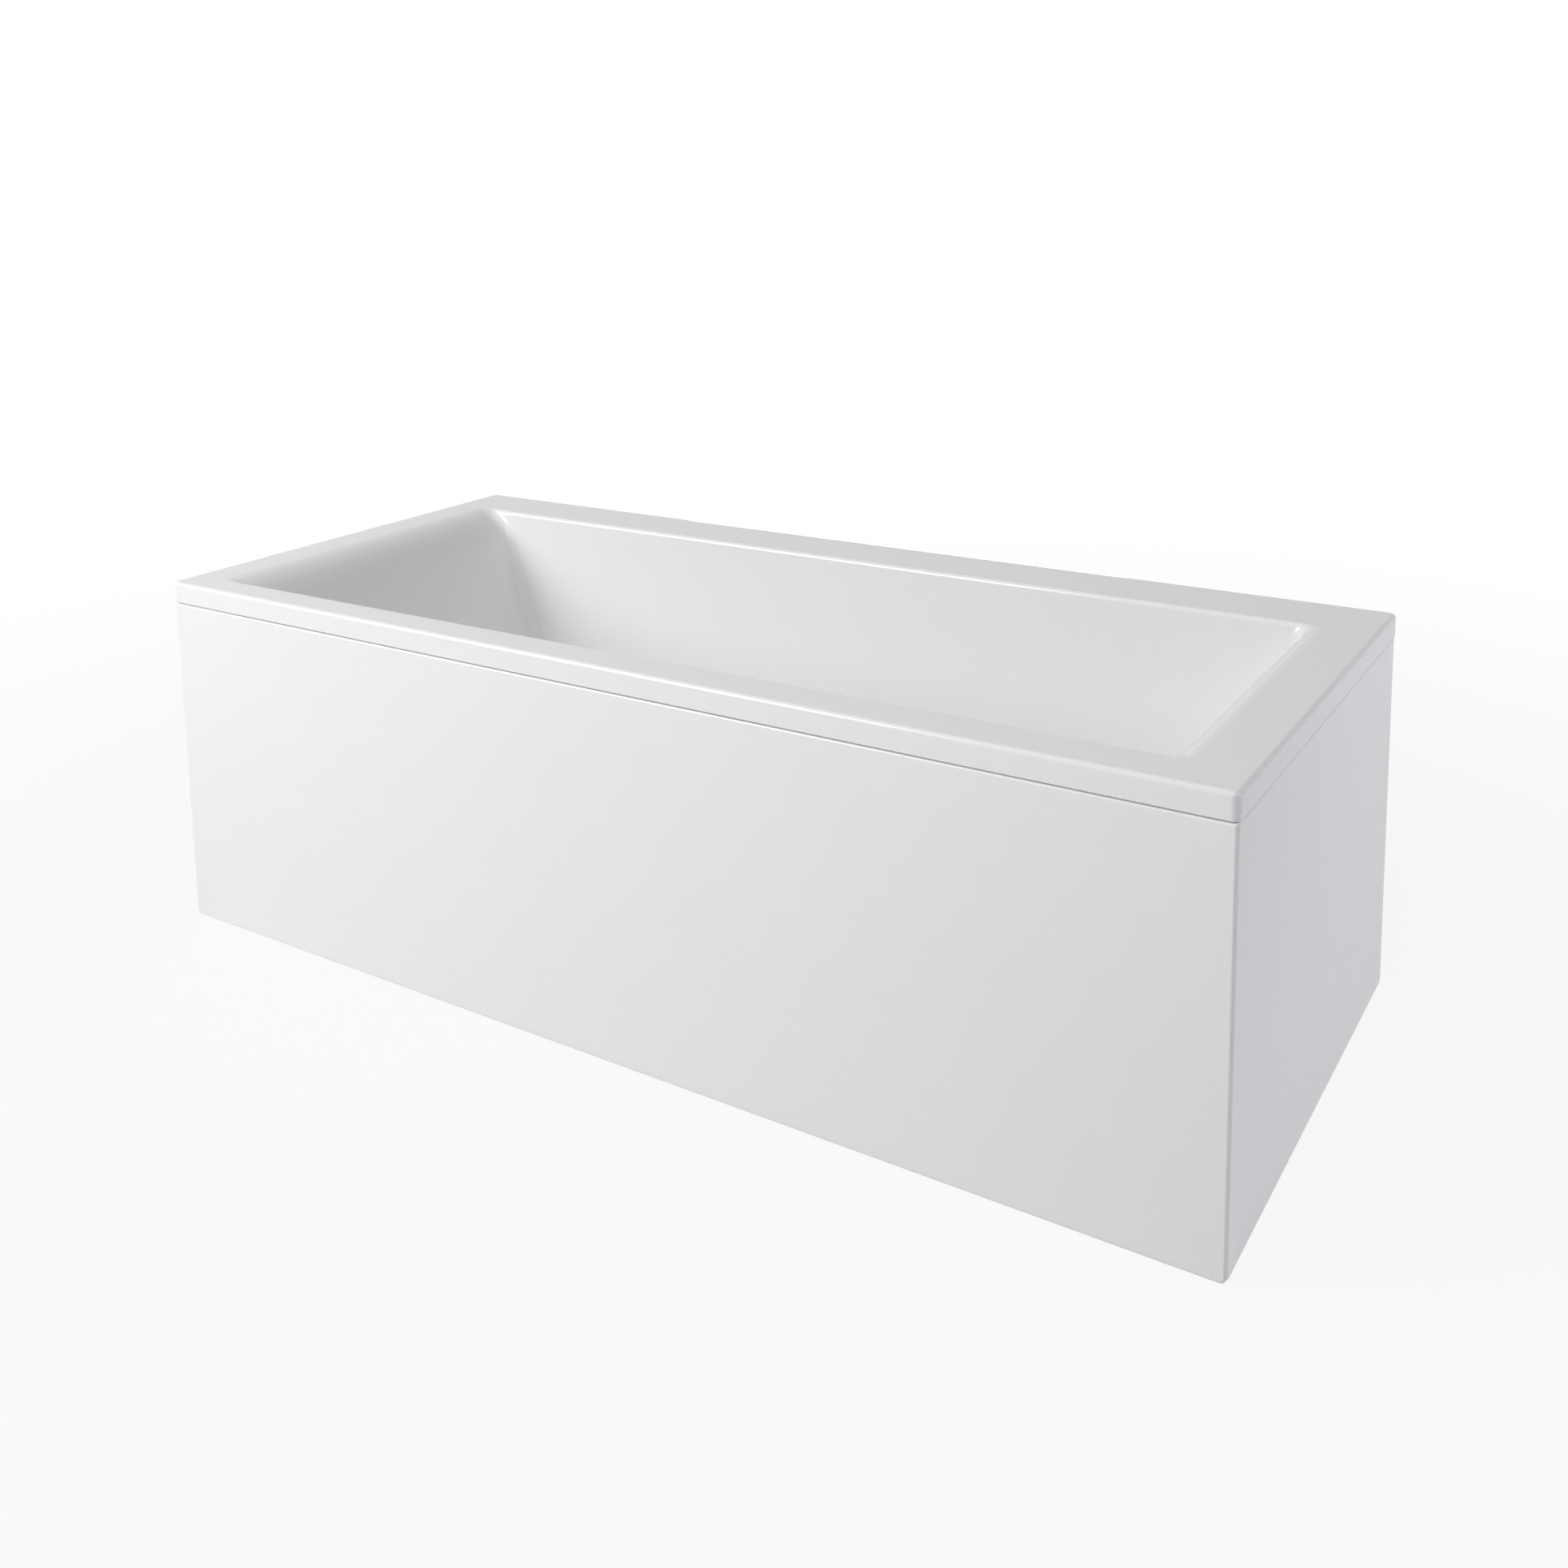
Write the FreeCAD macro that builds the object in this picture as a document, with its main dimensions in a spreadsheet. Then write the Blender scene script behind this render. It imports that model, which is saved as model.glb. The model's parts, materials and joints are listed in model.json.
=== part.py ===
import FreeCAD, Part
import math
import os

import Sketcher

os.makedirs("parts", exist_ok=True)

# A corner-fit acrylic bath, 1700 x 750 x 560 mm, in millimetres.
# Origin: centre of the footprint, on the floor. +X towards the foot (waste) end, +Y towards the
# wall behind the long side, +Z up. The front panel faces -Y, the end panel faces +X.

SIZES = {
    # overall
    "bath_length": 1700,
    "bath_width": 750,
    "rim_height": 560,
    # moulded shell
    "shell_wall": 5,
    "lip_height": 32,
    "lip_corner_radius": 10,
    "lip_edge_radius": 6,
    "basin_floor_height": 160,
    "head_ledge": 54,
    "foot_ledge": 68,
    "front_ledge_head": 46,
    "front_ledge_foot": 61,
    "back_ledge_head": 97,
    "back_ledge_foot": 109,
    "head_roll": 80,
    "foot_roll": 25,
    "side_roll": 8,
    "head_lean": 23,
    "foot_lean": 8,
    "side_lean": 4.5,
    "head_heel": 110,
    "foot_heel": 60,
    "side_heel": 60,
    "corner_radius": 20,
    "floor_corner_radius": 70,
    "floor_fall": 0.006,
    "waste_inset": 260,
    "outlet_hole_radius": 26,
    "waste_recess_radius": 40,
    "waste_recess_depth": 3,
    "overflow_drop": 105,
    # rim battens
    "batten_height": 18,
    "batten_gap": 2,
    "front_batten_width": 30,
    "back_batten_width": 60,
    "head_batten_width": 34,
    "foot_batten_width": 40,
    # base board and cradles
    "board_thickness": 18,
    "board_side_inset": 205,
    "board_head_inset": 370,
    "board_waste_gap": 90,
    "cradle_head_inset": 70,
    "cradle_foot_inset": 90,
    "cradle_overhang": 25,
    "cradle_width": 40,
    "cradle_height": 25,
    "cradle_wall": 2,
    "foot_inset": 80,
    "plate_side": 90,
    "sleeve_radius": 9,
    "sleeve_height": 40,
    # levelling feet
    "stud_radius": 5,
    "stud_above_cradle": 40,
    "centre_stud_gap": 14,
    "stud_collar_radius": 8,
    "stud_collar_height": 6,
    "pad_radius": 25,
    "pad_hub_radius": 12,
    "pad_height": 16,
    "pad_floor": 5,
    "nut_flats": 17,
    "nut_height": 8,
    "thread_clearance": 0.05,
    "stud_hole_clearance": 0.6,
    # panels
    "panel_thickness": 4,
    "panel_inset": 2,
    "panel_top_gap": 2.5,
    "panel_floor_gap": 2,
    "panel_return": 20,
    "panel_joint_gap": 0.6,
    "panel_corner_radius": 8,
    "panel_edge_radius": 3.5,
    # folded steel, hooks and screws
    "strip_thickness": 3,
    "stay_width": 30,
    "stay_reach": 18,
    "seat_clearance": 0.3,
    "end_stay_inset": 30,
    "end_stay_gap": 16,
    "hook_width": 40,
    "hook_depth": 30,
    "corner_clip_leg": 16,
    "corner_clip_height": 40,
    "bracket_width": 60,
    "bracket_drop": 87,
    "bracket_depth": 45,
    "bracket_hole_radius": 3.5,
    "bracket_hole_spacing": 36,
    "bracket_hole_drop": 55,
    "bracket_lip_gap": 2,
    "screw_radius": 2.2,
    "screw_length": 18,
    "screw_head_radius": 4.5,
    "screw_head_height": 3,
    "screw_hole_clearance": 0.2,
    # waste and overflow
    "flange_radius": 36,
    "flange_thickness": 3,
    "sleeve_bore": 22,
    "sleeve_wall": 3.5,
    "sleeve_length": 24,
    "sleeve_clearance": 0.2,
    "gasket_thickness": 3,
    "chamber_wall": 4.3,
    "chamber_height": 52,
    "overflow_chamber_height": 44,
    "hub_radius": 7,
    "hub_height": 8,
    "arm_width": 4,
    "stem_radius": 4,
    "running_clearance": 0.1,
    "plug_radius": 33,
    "plug_dome": 5,
    "seal_thickness": 2,
    "pin_radius": 2.5,
    "pin_length": 19,
    "guide_height": 24,
    "spigot_radius": 14,
    "spigot_bore": 12,
    "spigot_reach": 52,
    "waste_spigot_drop": 22,
    "overflow_spigot_drop": 22,
    "knob_radius": 34,
    "knob_height": 17,
    "knob_wall": 2.5,
    "knob_gap": 4,
    "grip_width": 10,
    "grip_height": 8,
    "drum_radius": 14,
    "drum_height": 8,
    "housing_radius": 22,
    "housing_wall": 2.5,
    "housing_height": 14,
    "gland_radius": 5,
    "gland_stand": 5,
    "cable_radius": 2.5,
    "cable_bend": 25,
    "cable_offset": 60,
    "hose_bore": 14.1,
    "hose_wall": 1.5,
    "hose_rib_radius": 18,
    "hose_rib_pitch": 15,
    "hose_cuff": 32,
    "hose_bend": 60,
    "hose_overlap": 18,
    "nut_ring_wall": 5,
    "nut_ring_height": 20,
    "trap_radius": 20,
    "trap_bore": 18,
    "trap_bend": 30,
    "trap_ground_clearance": 6,
    "outlet_stub": 20,
    "outlet_end_gap": 25,
    "outlet_spigot": 45,
}

doc = FreeCAD.newDocument("bath")
sheet = doc.addObject("Spreadsheet::Sheet", "Sizes")
for row, (alias, number) in enumerate(SIZES.items(), 1):
    sheet.set(f"A{row}", alias)
    sheet.set(f"B{row}", str(number))
    sheet.setAlias(f"B{row}", alias)
doc.recompute()


class Size:
    """A size: its number now, and the formula that ties it to the sheet."""

    def __init__(self, number, formula):
        self.number = number
        self.formula = formula

    def __add__(self, other):
        other = as_size(other)
        return Size(self.number + other.number, f"({self.formula} + {other.formula})")

    def __sub__(self, other):
        other = as_size(other)
        return Size(self.number - other.number, f"({self.formula} - {other.formula})")

    def __mul__(self, other):
        other = as_size(other)
        return Size(self.number * other.number, f"({self.formula} * {other.formula})")

    def __truediv__(self, other):
        other = as_size(other)
        return Size(self.number / other.number, f"({self.formula} / {other.formula})")

    def __neg__(self):
        return as_size(0) - self


def as_size(value):
    """A plain number as a size, and a size as it is."""
    if isinstance(value, Size):
        return value
    return Size(float(value), str(float(value)))


def cell(alias):
    """A driving size of the sheet."""
    return Size(float(sheet.get(alias)), f"Sizes.{alias}")


def sine(angle):
    return Size(math.sin(math.radians(angle.number)), f"sin({angle.formula} * 1 deg)")


def cosine(angle):
    return Size(math.cos(math.radians(angle.number)), f"cos({angle.formula} * 1 deg)")


def vector(x, y, z):
    return FreeCAD.Vector(as_size(x).number, as_size(y).number, as_size(z).number)


Z_AXIS = FreeCAD.Vector(0, 0, 1)
Y_AXIS = FreeCAD.Vector(0, 1, 0)
X_AXIS = FreeCAD.Vector(1, 0, 0)

nodes = []


# ---------------------------------------------------------------- building blocks

def keep(item, label):
    """Name an object and count it as a piece of the bath."""
    item.Label = label
    nodes.append(item)
    return item


def place(item, x=0, y=0, z=0, axis=None, angle=None):
    """Put an object at bound coordinates, turned about one axis if asked."""
    if axis:
        item.Placement.Rotation = FreeCAD.Rotation(axis, as_size(angle).number)
        item.setExpression("Placement.Rotation.Angle", f"{as_size(angle).formula} * 1 deg")
    for letter, size in zip("xyz", (x, y, z)):
        item.setExpression(f"Placement.Base.{letter}", as_size(size).formula)
    return item


def new_sketch(body, role):
    """A sketch on one of the body's own origin planes."""
    sketch = body.newObject("Sketcher::SketchObject", "Sketch")
    plane = [item for item in body.Origin.OriginFeatures if item.Role == role][0]
    sketch.AttachmentSupport = (plane, [""])
    sketch.MapMode = "FlatFace"
    return sketch


def bind_point(sketch, geometry, position, x, y):
    """Tie a point to the sketch's origin by two bound distances."""
    for kind, size in (("DistanceX", x), ("DistanceY", y)):
        rule = Sketcher.Constraint(kind, -1, 1, geometry, position, as_size(size).number)
        index = sketch.addConstraint(rule)
        sketch.setExpression(f"Constraints[{index}]", as_size(size).formula)


def draw_outline(sketch, corners):
    """A closed polygon, every corner bound."""
    spots = [vector(x, y, 0) for x, y in corners]
    lines = []
    for start, end in zip(spots, spots[1:] + spots[:1]):
        lines.append(sketch.addGeometry(Part.LineSegment(start, end), False))
    for line, following in zip(lines, lines[1:] + lines[:1]):
        sketch.addConstraint(Sketcher.Constraint("Coincident", line, 2, following, 1))
    for line, (x, y) in zip(lines, corners):
        bind_point(sketch, line, 1, x, y)


def draw_circles(sketch, centres, radius):
    """Circles of one bound radius at bound centres."""
    for x, y in centres:
        ring = Part.Circle(vector(x, y, 0), Z_AXIS, radius.number)
        index = sketch.addGeometry(ring, False)
        bind_point(sketch, index, 3, x, y)
        rule = sketch.addConstraint(Sketcher.Constraint("Radius", index, radius.number))
        sketch.setExpression(f"Constraints[{rule}]", radius.formula)


def folded(role, corners, width):
    """A body of constant section: an outline padded evenly to both sides of its plane."""
    body = doc.addObject("PartDesign::Body", "Body")
    sketch = new_sketch(body, role)
    draw_outline(sketch, corners)
    pad = body.newObject("PartDesign::Pad", "Pad")
    pad.Profile = sketch
    pad.SideType = "Symmetric"
    pad.setExpression("Length", as_size(width).formula)
    doc.recompute()
    return body


def turned(corners):
    """A body of revolution about its own Z axis, from (radius, height) corners."""
    body = doc.addObject("PartDesign::Body", "Body")
    sketch = new_sketch(body, "XZ_Plane")
    draw_outline(sketch, corners)
    revolution = body.newObject("PartDesign::Revolution", "Revolution")
    revolution.Profile = sketch
    revolution.ReferenceAxis = (sketch, ["V_Axis"])
    revolution.Angle = 360
    doc.recompute()
    return body


def pocket(body, sketch):
    """Cut a sketch right through a body, both ways, and check that it took material away."""
    before = body.Shape.Volume
    cut = body.newObject("PartDesign::Pocket", "Pocket")
    cut.Profile = sketch
    cut.Type = "ThroughAll"
    cut.SideType = "Symmetric"
    doc.recompute()
    if not body.Shape.Volume < before:
        raise RuntimeError("a pocket cut nothing: " + body.Label)


def drill(body, role, centres, radius):
    """Round holes right through a body, square to one of its origin planes."""
    sketch = new_sketch(body, role)
    draw_circles(sketch, centres, radius)
    pocket(body, sketch)


def round_edges(body, chosen, radius):
    """Fillet the body's edges that the test picks."""
    base = body.Tip
    names = []
    for index, edge in enumerate(base.Shape.Edges, 1):
        if chosen(edge):
            names.append(f"Edge{index}")
    fillet = body.newObject("PartDesign::Fillet", "Fillet")
    fillet.Base = (base, names)
    fillet.setExpression("Radius", radius.formula)
    doc.recompute()


def box(x_low, x_high, y_low, y_high, z_low, z_high):
    """A bound block between two corners."""
    item = doc.addObject("Part::Box", "Block")
    sides = (("Length", x_low, x_high), ("Width", y_low, y_high), ("Height", z_low, z_high))
    for side, low, high in sides:
        item.setExpression(side, (as_size(high) - low).formula)
    return place(item, x_low, y_low, z_low)


def cylinder(radius, height, x=0, y=0, z=0, axis=None, angle=None):
    """A bound cylinder that starts at a point and runs along +Z, or as turned."""
    item = doc.addObject("Part::Cylinder", "Cylinder")
    item.setExpression("Radius", as_size(radius).formula)
    item.setExpression("Height", as_size(height).formula)
    return place(item, x, y, z, axis, angle)


def fuse(*parts):
    item = doc.addObject("Part::MultiFuse", "Fusion")
    item.Shapes = list(parts)
    doc.recompute()
    return item


def cut(base, *tools):
    item = doc.addObject("Part::Cut", "Cut")
    item.Base = base
    item.Tool = tools[0] if len(tools) == 1 else fuse(*tools)
    doc.recompute()
    return item


def rounded_wire(points, radii, closed):
    """Straight runs joined by tangent arcs, one radius for each inner point."""
    count = len(points)
    bends = []
    for index, point in enumerate(points):
        if not closed and index in (0, count - 1):
            bends.append((point, None, point))
            continue
        back = (points[index - 1] - point).normalize()
        ahead = (points[(index + 1) % count] - point).normalize()
        half = back.getAngle(ahead) / 2
        radius = radii[index]
        reach = radius / math.tan(half)
        middle = (back + ahead).normalize() * (radius / math.sin(half) - radius)
        bends.append((point + back * reach, point + middle, point + ahead * reach))
    edges = []
    for index, (start, middle, end) in enumerate(bends):
        if middle is not None:
            edges.append(Part.Arc(start, middle, end).toShape())
        if closed or index < count - 1:
            following = bends[(index + 1) % count][0]
            if (following - end).Length > 1e-6:
                edges.append(Part.LineSegment(end, following).toShape())
    return Part.Wire(edges)


def swept(path, radius, bore=0):
    """A round rod, or a tube, along a path of runs and tangent arcs."""
    pieces = []
    for edge in path.OrderedEdges:
        start = edge.valueAt(edge.FirstParameter)
        heading = edge.tangentAt(edge.FirstParameter)
        face = Part.Face(Part.Wire(Part.makeCircle(radius, start, heading)))
        if bore:
            face = face.cut(Part.Face(Part.Wire(Part.makeCircle(bore, start, heading))))
        if isinstance(edge.Curve, Part.Circle):
            turn = math.degrees(edge.Length / edge.Curve.Radius)
            pieces.append(face.revolve(edge.Curve.Center, edge.Curve.Axis, turn))
        else:
            pieces.append(face.extrude(heading * edge.Length))
    return pieces[0].fuse(pieces[1:]).removeSplitter().Solids[0]


def feature(shape, label):
    """A piece whose form is worked out here from the sheet's sizes."""
    item = doc.addObject("Part::Feature", "Piece")
    item.Shape = shape
    return keep(item, label)


# ---------------------------------------------------------------- lines that the pieces share

length = cell("bath_length")
width = cell("bath_width")
rim_z = cell("rim_height")
wall = cell("shell_wall")
half_length = length / 2
half_width = width / 2
head_line = -half_length + cell("head_ledge")
foot_line = half_length - cell("foot_ledge")
waste_x = half_length - cell("waste_inset")
basin_y = (cell("front_ledge_foot") - cell("back_ledge_foot")) / 2
floor_z = cell("basin_floor_height")
basin_depth = rim_z - floor_z
deck_under_z = rim_z - wall
batten_z = deck_under_z - cell("batten_height")
lip_z = rim_z - cell("lip_height")
strip = cell("strip_thickness")
clear = cell("seat_clearance")


def floor_under(x):
    """Height of the underside of the falling basin floor at a place along the bath."""
    return floor_z - wall + cell("floor_fall") * (waste_x - x)


board_head = -half_length + cell("board_head_inset")
board_foot = waste_x - cell("board_waste_gap")
board_half = half_width - cell("board_side_inset")
board_z = floor_under(board_foot) - cell("board_thickness")


# ---------------------------------------------------------------- moulded shell

def setback(depth, roll, lean, heel, full_depth):
    """How far in from the rim a wall has come at a depth: roll-over, leaning wall, heel."""
    angle = math.radians(lean)
    roll_depth = roll * (1 - math.sin(angle))
    if depth < roll_depth:
        return math.sqrt(2 * roll * depth - depth ** 2)
    heel_depth = full_depth - heel * (1 - math.sin(angle))
    on_wall = min(depth, heel_depth)
    reach = roll * math.cos(angle) + (on_wall - roll_depth) * math.tan(angle)
    if depth > heel_depth:
        below = min(depth - (full_depth - heel), heel)
        reach += heel * math.cos(angle) - math.sqrt(heel ** 2 - below ** 2)
    return reach


def basin_levels(offset):
    """Depths of the sections: close together in the roll-overs and heels, wide on the walls."""
    full = basin_depth.number
    steps = [math.radians(step) for step in (18, 36, 54, 66)]
    depths = [full * share for share in (0.3, 0.5, 0.7)]
    for alias in ("side_roll", "foot_roll", "head_roll"):
        roll = cell(alias).number - offset
        depths += [roll * (1 - math.cos(step)) for step in steps]
    for alias in ("side_heel", "head_heel"):
        heel = cell(alias).number + offset
        depths += [full - heel * (1 - math.sin(step)) for step in (0.15, 0.5, 0.8, 1.1)]
    levels = [0.0]
    for depth in sorted(depths):
        spacing = 0.5 if depth < 5 else 2.5
        if depth - levels[-1] > spacing and full - depth > spacing:
            levels.append(depth)
    return levels + [full]


def basin_section(depth, offset):
    """The basin's outline at a depth, offset outwards: four walls joined by round corners."""
    full = basin_depth.number
    ends = {}
    for end in ("head", "foot"):
        ends[end] = setback(depth, cell(end + "_roll").number - offset, cell(end + "_lean").number,
                            cell(end + "_heel").number + offset, full)
    side = setback(depth, cell("side_roll").number - offset, cell("side_lean").number,
                   cell("side_heel").number + offset, full)
    head_x = head_line.number + ends["head"]
    foot_x = foot_line.number - ends["foot"]
    share = max(0.0, 2 * depth / full - 1)
    growth = cell("floor_corner_radius").number - cell("corner_radius").number
    radius = cell("corner_radius").number + offset + growth * share ** 2
    fall = cell("floor_fall").number * share

    def ledge(name, x):
        run = (x - head_line.number) / (foot_line.number - head_line.number)
        at_head = cell(name + "_ledge_head").number
        return at_head + (cell(name + "_ledge_foot").number - at_head) * run

    corners = []
    for x, name in ((head_x, "front"), (foot_x, "front"), (foot_x, "back"), (head_x, "back")):
        sign = -1 if name == "front" else 1
        y = sign * (half_width.number - ledge(name, x) - side)
        z = rim_z.number - offset - depth + fall * (waste_x.number - x)
        corners.append(FreeCAD.Vector(x, y, z))
    return rounded_wire(corners, [radius] * 4, True)


def basin(offset):
    """The basin's space, or with an offset of the wall, the outside of its shell."""
    sections = [basin_section(depth, offset) for depth in basin_levels(offset)]
    return Part.makeLoft(sections, True, True)


def rim_block():
    """The deck and its down-turned lip, hollow beneath."""
    size = vector(length, width, cell("lip_height"))
    block = Part.makeBox(*size, vector(-half_length, -half_width, lip_z))
    upright = [edge for edge in block.Edges if edge.BoundBox.ZLength > 1]
    block = block.makeFillet(cell("lip_corner_radius").number, upright)
    top = [edge for edge in block.Edges if edge.BoundBox.ZMin > rim_z.number - 0.01]
    block = block.makeFillet(cell("lip_edge_radius").number, top)
    inner = (length - wall * 2, width - wall * 2, cell("lip_height"))
    hollow = Part.makeBox(*vector(*inner), vector(-half_length + wall, -half_width + wall, lip_z - wall))
    upright = [edge for edge in hollow.Edges if edge.BoundBox.ZLength > 1]
    return block.cut(hollow.makeFillet((cell("lip_corner_radius") - wall).number, upright))


lean_cos = cosine(cell("foot_lean"))
lean_sin = sine(cell("foot_lean"))
roll_fall = cell("foot_roll") - cell("foot_roll") * lean_sin
straight_fall = cell("overflow_drop") - roll_fall
overflow_z = rim_z - cell("overflow_drop")
overflow_x = foot_line - cell("foot_roll") * lean_cos - straight_fall * lean_sin / lean_cos
overflow_turn = cell("foot_lean") - 90
into_basin = vector(-lean_cos, 0, lean_sin)
down_wall = vector(-lean_sin, 0, -lean_cos)


def wall_spot(inward, down=0):
    """Bound x and z of a point this far into the basin and this far down the wall's slope."""
    down = as_size(down)
    inward = as_size(inward)
    x = overflow_x - lean_cos * inward - lean_sin * down
    z = overflow_z + lean_sin * inward - lean_cos * down
    return x, z


def tub_shell():
    recess_z = floor_z - cell("waste_recess_depth")
    boss = Part.makeCylinder((cell("waste_recess_radius") + wall).number,
                             (wall + cell("waste_recess_depth")).number,
                             vector(waste_x, basin_y, recess_z - wall))
    recess = Part.makeCylinder(cell("waste_recess_radius").number, wall.number * 4,
                               vector(waste_x, basin_y, recess_z))
    hole = Part.makeCylinder(cell("outlet_hole_radius").number, wall.number * 6,
                             vector(waste_x, basin_y, recess_z - wall * 3))
    x, z = wall_spot(-wall * 3)
    overflow = Part.makeCylinder(cell("outlet_hole_radius").number, wall.number * 6,
                                 vector(x, basin_y, z), into_basin)
    shell = rim_block().fuse([basin(wall.number), boss])
    shell = shell.cut([basin(0.0), recess, hole, overflow])
    return shell.removeSplitter().Solids[0]


feature(tub_shell(), "tub_shell")


# ---------------------------------------------------------------- rim battens

batten_edge_x = half_length - wall - cell("batten_gap")
batten_edge_y = half_width - wall - cell("batten_gap")
front_batten_y = -batten_edge_y + cell("front_batten_width")
back_batten_y = batten_edge_y - cell("back_batten_width")

keep(box(-batten_edge_x, batten_edge_x, -batten_edge_y, front_batten_y, batten_z, deck_under_z),
     "rim_batten_front")
keep(box(-batten_edge_x, batten_edge_x, back_batten_y, batten_edge_y, batten_z, deck_under_z),
     "rim_batten_back")
keep(box(-batten_edge_x, -batten_edge_x + cell("head_batten_width"),
         front_batten_y, back_batten_y, batten_z, deck_under_z), "rim_batten_head")
keep(box(batten_edge_x - cell("foot_batten_width"), batten_edge_x,
         front_batten_y, back_batten_y, batten_z, deck_under_z), "rim_batten_foot")


# ---------------------------------------------------------------- base board and cradles

board = folded("XZ_Plane", [
    (board_head, board_z),
    (board_foot, board_z),
    (board_foot, floor_under(board_foot)),
    (board_head, floor_under(board_head)),
], board_half * 2)
keep(place(board, y=basin_y), "base_board")

cradle_wall = cell("cradle_wall")
cradle_half = cell("cradle_width") / 2
cradle_x = {"head": board_head + cell("cradle_head_inset"), "foot": board_foot - cell("cradle_foot_inset")}
foot_half = half_width - cell("foot_inset")
screw_steps = [board_half * share for share in (-0.8, -0.36, 0.36, 0.8)]
screw_hole = cell("screw_radius") + cell("screw_hole_clearance")
stud_hole = cell("stud_radius") + cell("stud_hole_clearance")


def cradle(end):
    """An open-bottomed steel channel across the bath, flat against the board."""
    inner = cradle_half - cradle_wall
    depth = cell("cradle_height")
    body = folded("XZ_Plane", [
        (-cradle_half, -depth),
        (-cradle_half, 0),
        (cradle_half, 0),
        (cradle_half, -depth),
        (inner, -depth),
        (inner, -cradle_wall),
        (-inner, -cradle_wall),
        (-inner, -depth),
    ], (foot_half + cell("cradle_overhang")) * 2)
    drill(body, "XY_Plane", [(0, -foot_half), (0, foot_half)], stud_hole)
    drill(body, "XY_Plane", [(0, step) for step in screw_steps], screw_hole)
    return keep(place(body, cradle_x[end], basin_y, board_z), "cradle_" + end)


cradle("head")
cradle("foot")

plate_half = cell("plate_side") / 2
plate_hole = plate_half * 0.75
plate = box(-plate_half, plate_half, -plate_half, plate_half, -strip, 0)
sleeve = cylinder(cell("sleeve_radius"), cell("sleeve_height"), z=-strip - cell("sleeve_height"))
thread = cylinder(cell("stud_radius") + cell("thread_clearance"), cell("sleeve_height"),
                  z=-strip - cell("sleeve_height"))
plate_holes = [cylinder(screw_hole, strip, plate_hole * x, plate_hole * y, -strip)
               for x in (-1, 1) for y in (-1, 1)]
bracket = cut(fuse(plate, sleeve), thread, *plate_holes)
keep(place(bracket, y=basin_y, z=board_z), "centre_bracket")


# ---------------------------------------------------------------- levelling feet

feet = {
    "head_front": (cradle_x["head"], basin_y - foot_half),
    "head_back": (cradle_x["head"], basin_y + foot_half),
    "foot_front": (cradle_x["foot"], basin_y - foot_half),
    "foot_back": (cradle_x["foot"], basin_y + foot_half),
    "centre": (as_size(0), basin_y),
}


def levelling_stud(name):
    """A threaded stud with a collar that stands on the pad's hub."""
    radius = cell("stud_radius")
    collar = cell("stud_collar_radius")
    collar_z = cell("pad_height")
    collar_top = collar_z + cell("stud_collar_height")
    top = board_z + cell("stud_above_cradle")
    if name == "centre":
        top = board_z - cell("centre_stud_gap")
    body = turned([
        (0, cell("pad_floor")),
        (radius, cell("pad_floor")),
        (radius, collar_z),
        (collar, collar_z),
        (collar, collar_top),
        (radius, collar_top),
        (radius, top - 1),
        (radius - 1, top),
        (0, top),
    ])
    keep(place(body, *feet[name]), "levelling_stud_" + name)


def levelling_pad(name):
    """A plastic foot with a socket for the stud."""
    radius = cell("pad_radius")
    hub = cell("pad_hub_radius")
    socket = cell("stud_radius") + cell("running_clearance")
    body = turned([
        (0, 0),
        (radius - 1, 0),
        (radius, 1),
        (radius, cell("pad_floor")),
        (hub + 1, cell("pad_floor") + 3),
        (hub, cell("pad_height")),
        (socket, cell("pad_height")),
        (socket, cell("pad_floor")),
        (0, cell("pad_floor")),
    ])
    keep(place(body, *feet[name]), "levelling_pad_" + name)


for name in feet:
    levelling_stud(name)
    levelling_pad(name)


def hexagon_nut(x, y, top):
    """A nut whose upper face is at a height."""
    across = cell("nut_flats").number / math.sqrt(3)
    height = cell("nut_height").number
    base = vector(x, y, top) - Z_AXIS * height
    corners = [base + FreeCAD.Vector(across * math.cos(turn), across * math.sin(turn), 0)
               for turn in (math.radians(60 * step) for step in range(7))]
    prism = Part.Face(Part.makePolygon(corners)).extrude(Z_AXIS * height)
    bore = (cell("stud_radius") + cell("thread_clearance")).number
    return prism.cut(Part.makeCylinder(bore, height, base))


nuts = []
for name, (x, y) in feet.items():
    if name == "centre":
        nuts.append(hexagon_nut(x, y, board_z - strip - cell("sleeve_height")))
        continue
    nuts.append(hexagon_nut(x, y, board_z + cell("nut_height")))
    packing = strip if name.endswith("front") else as_size(0)
    nuts.append(hexagon_nut(x, y, board_z - cradle_wall - packing))
feature(Part.makeCompound(nuts), "foot_lock_nuts")


# ---------------------------------------------------------------- panels

panel = cell("panel_thickness")
panel_height = lip_z - cell("panel_top_gap") - cell("panel_floor_gap")
panel_face_y = -half_width + cell("panel_inset")
panel_face_x = half_length - cell("panel_inset")


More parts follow.
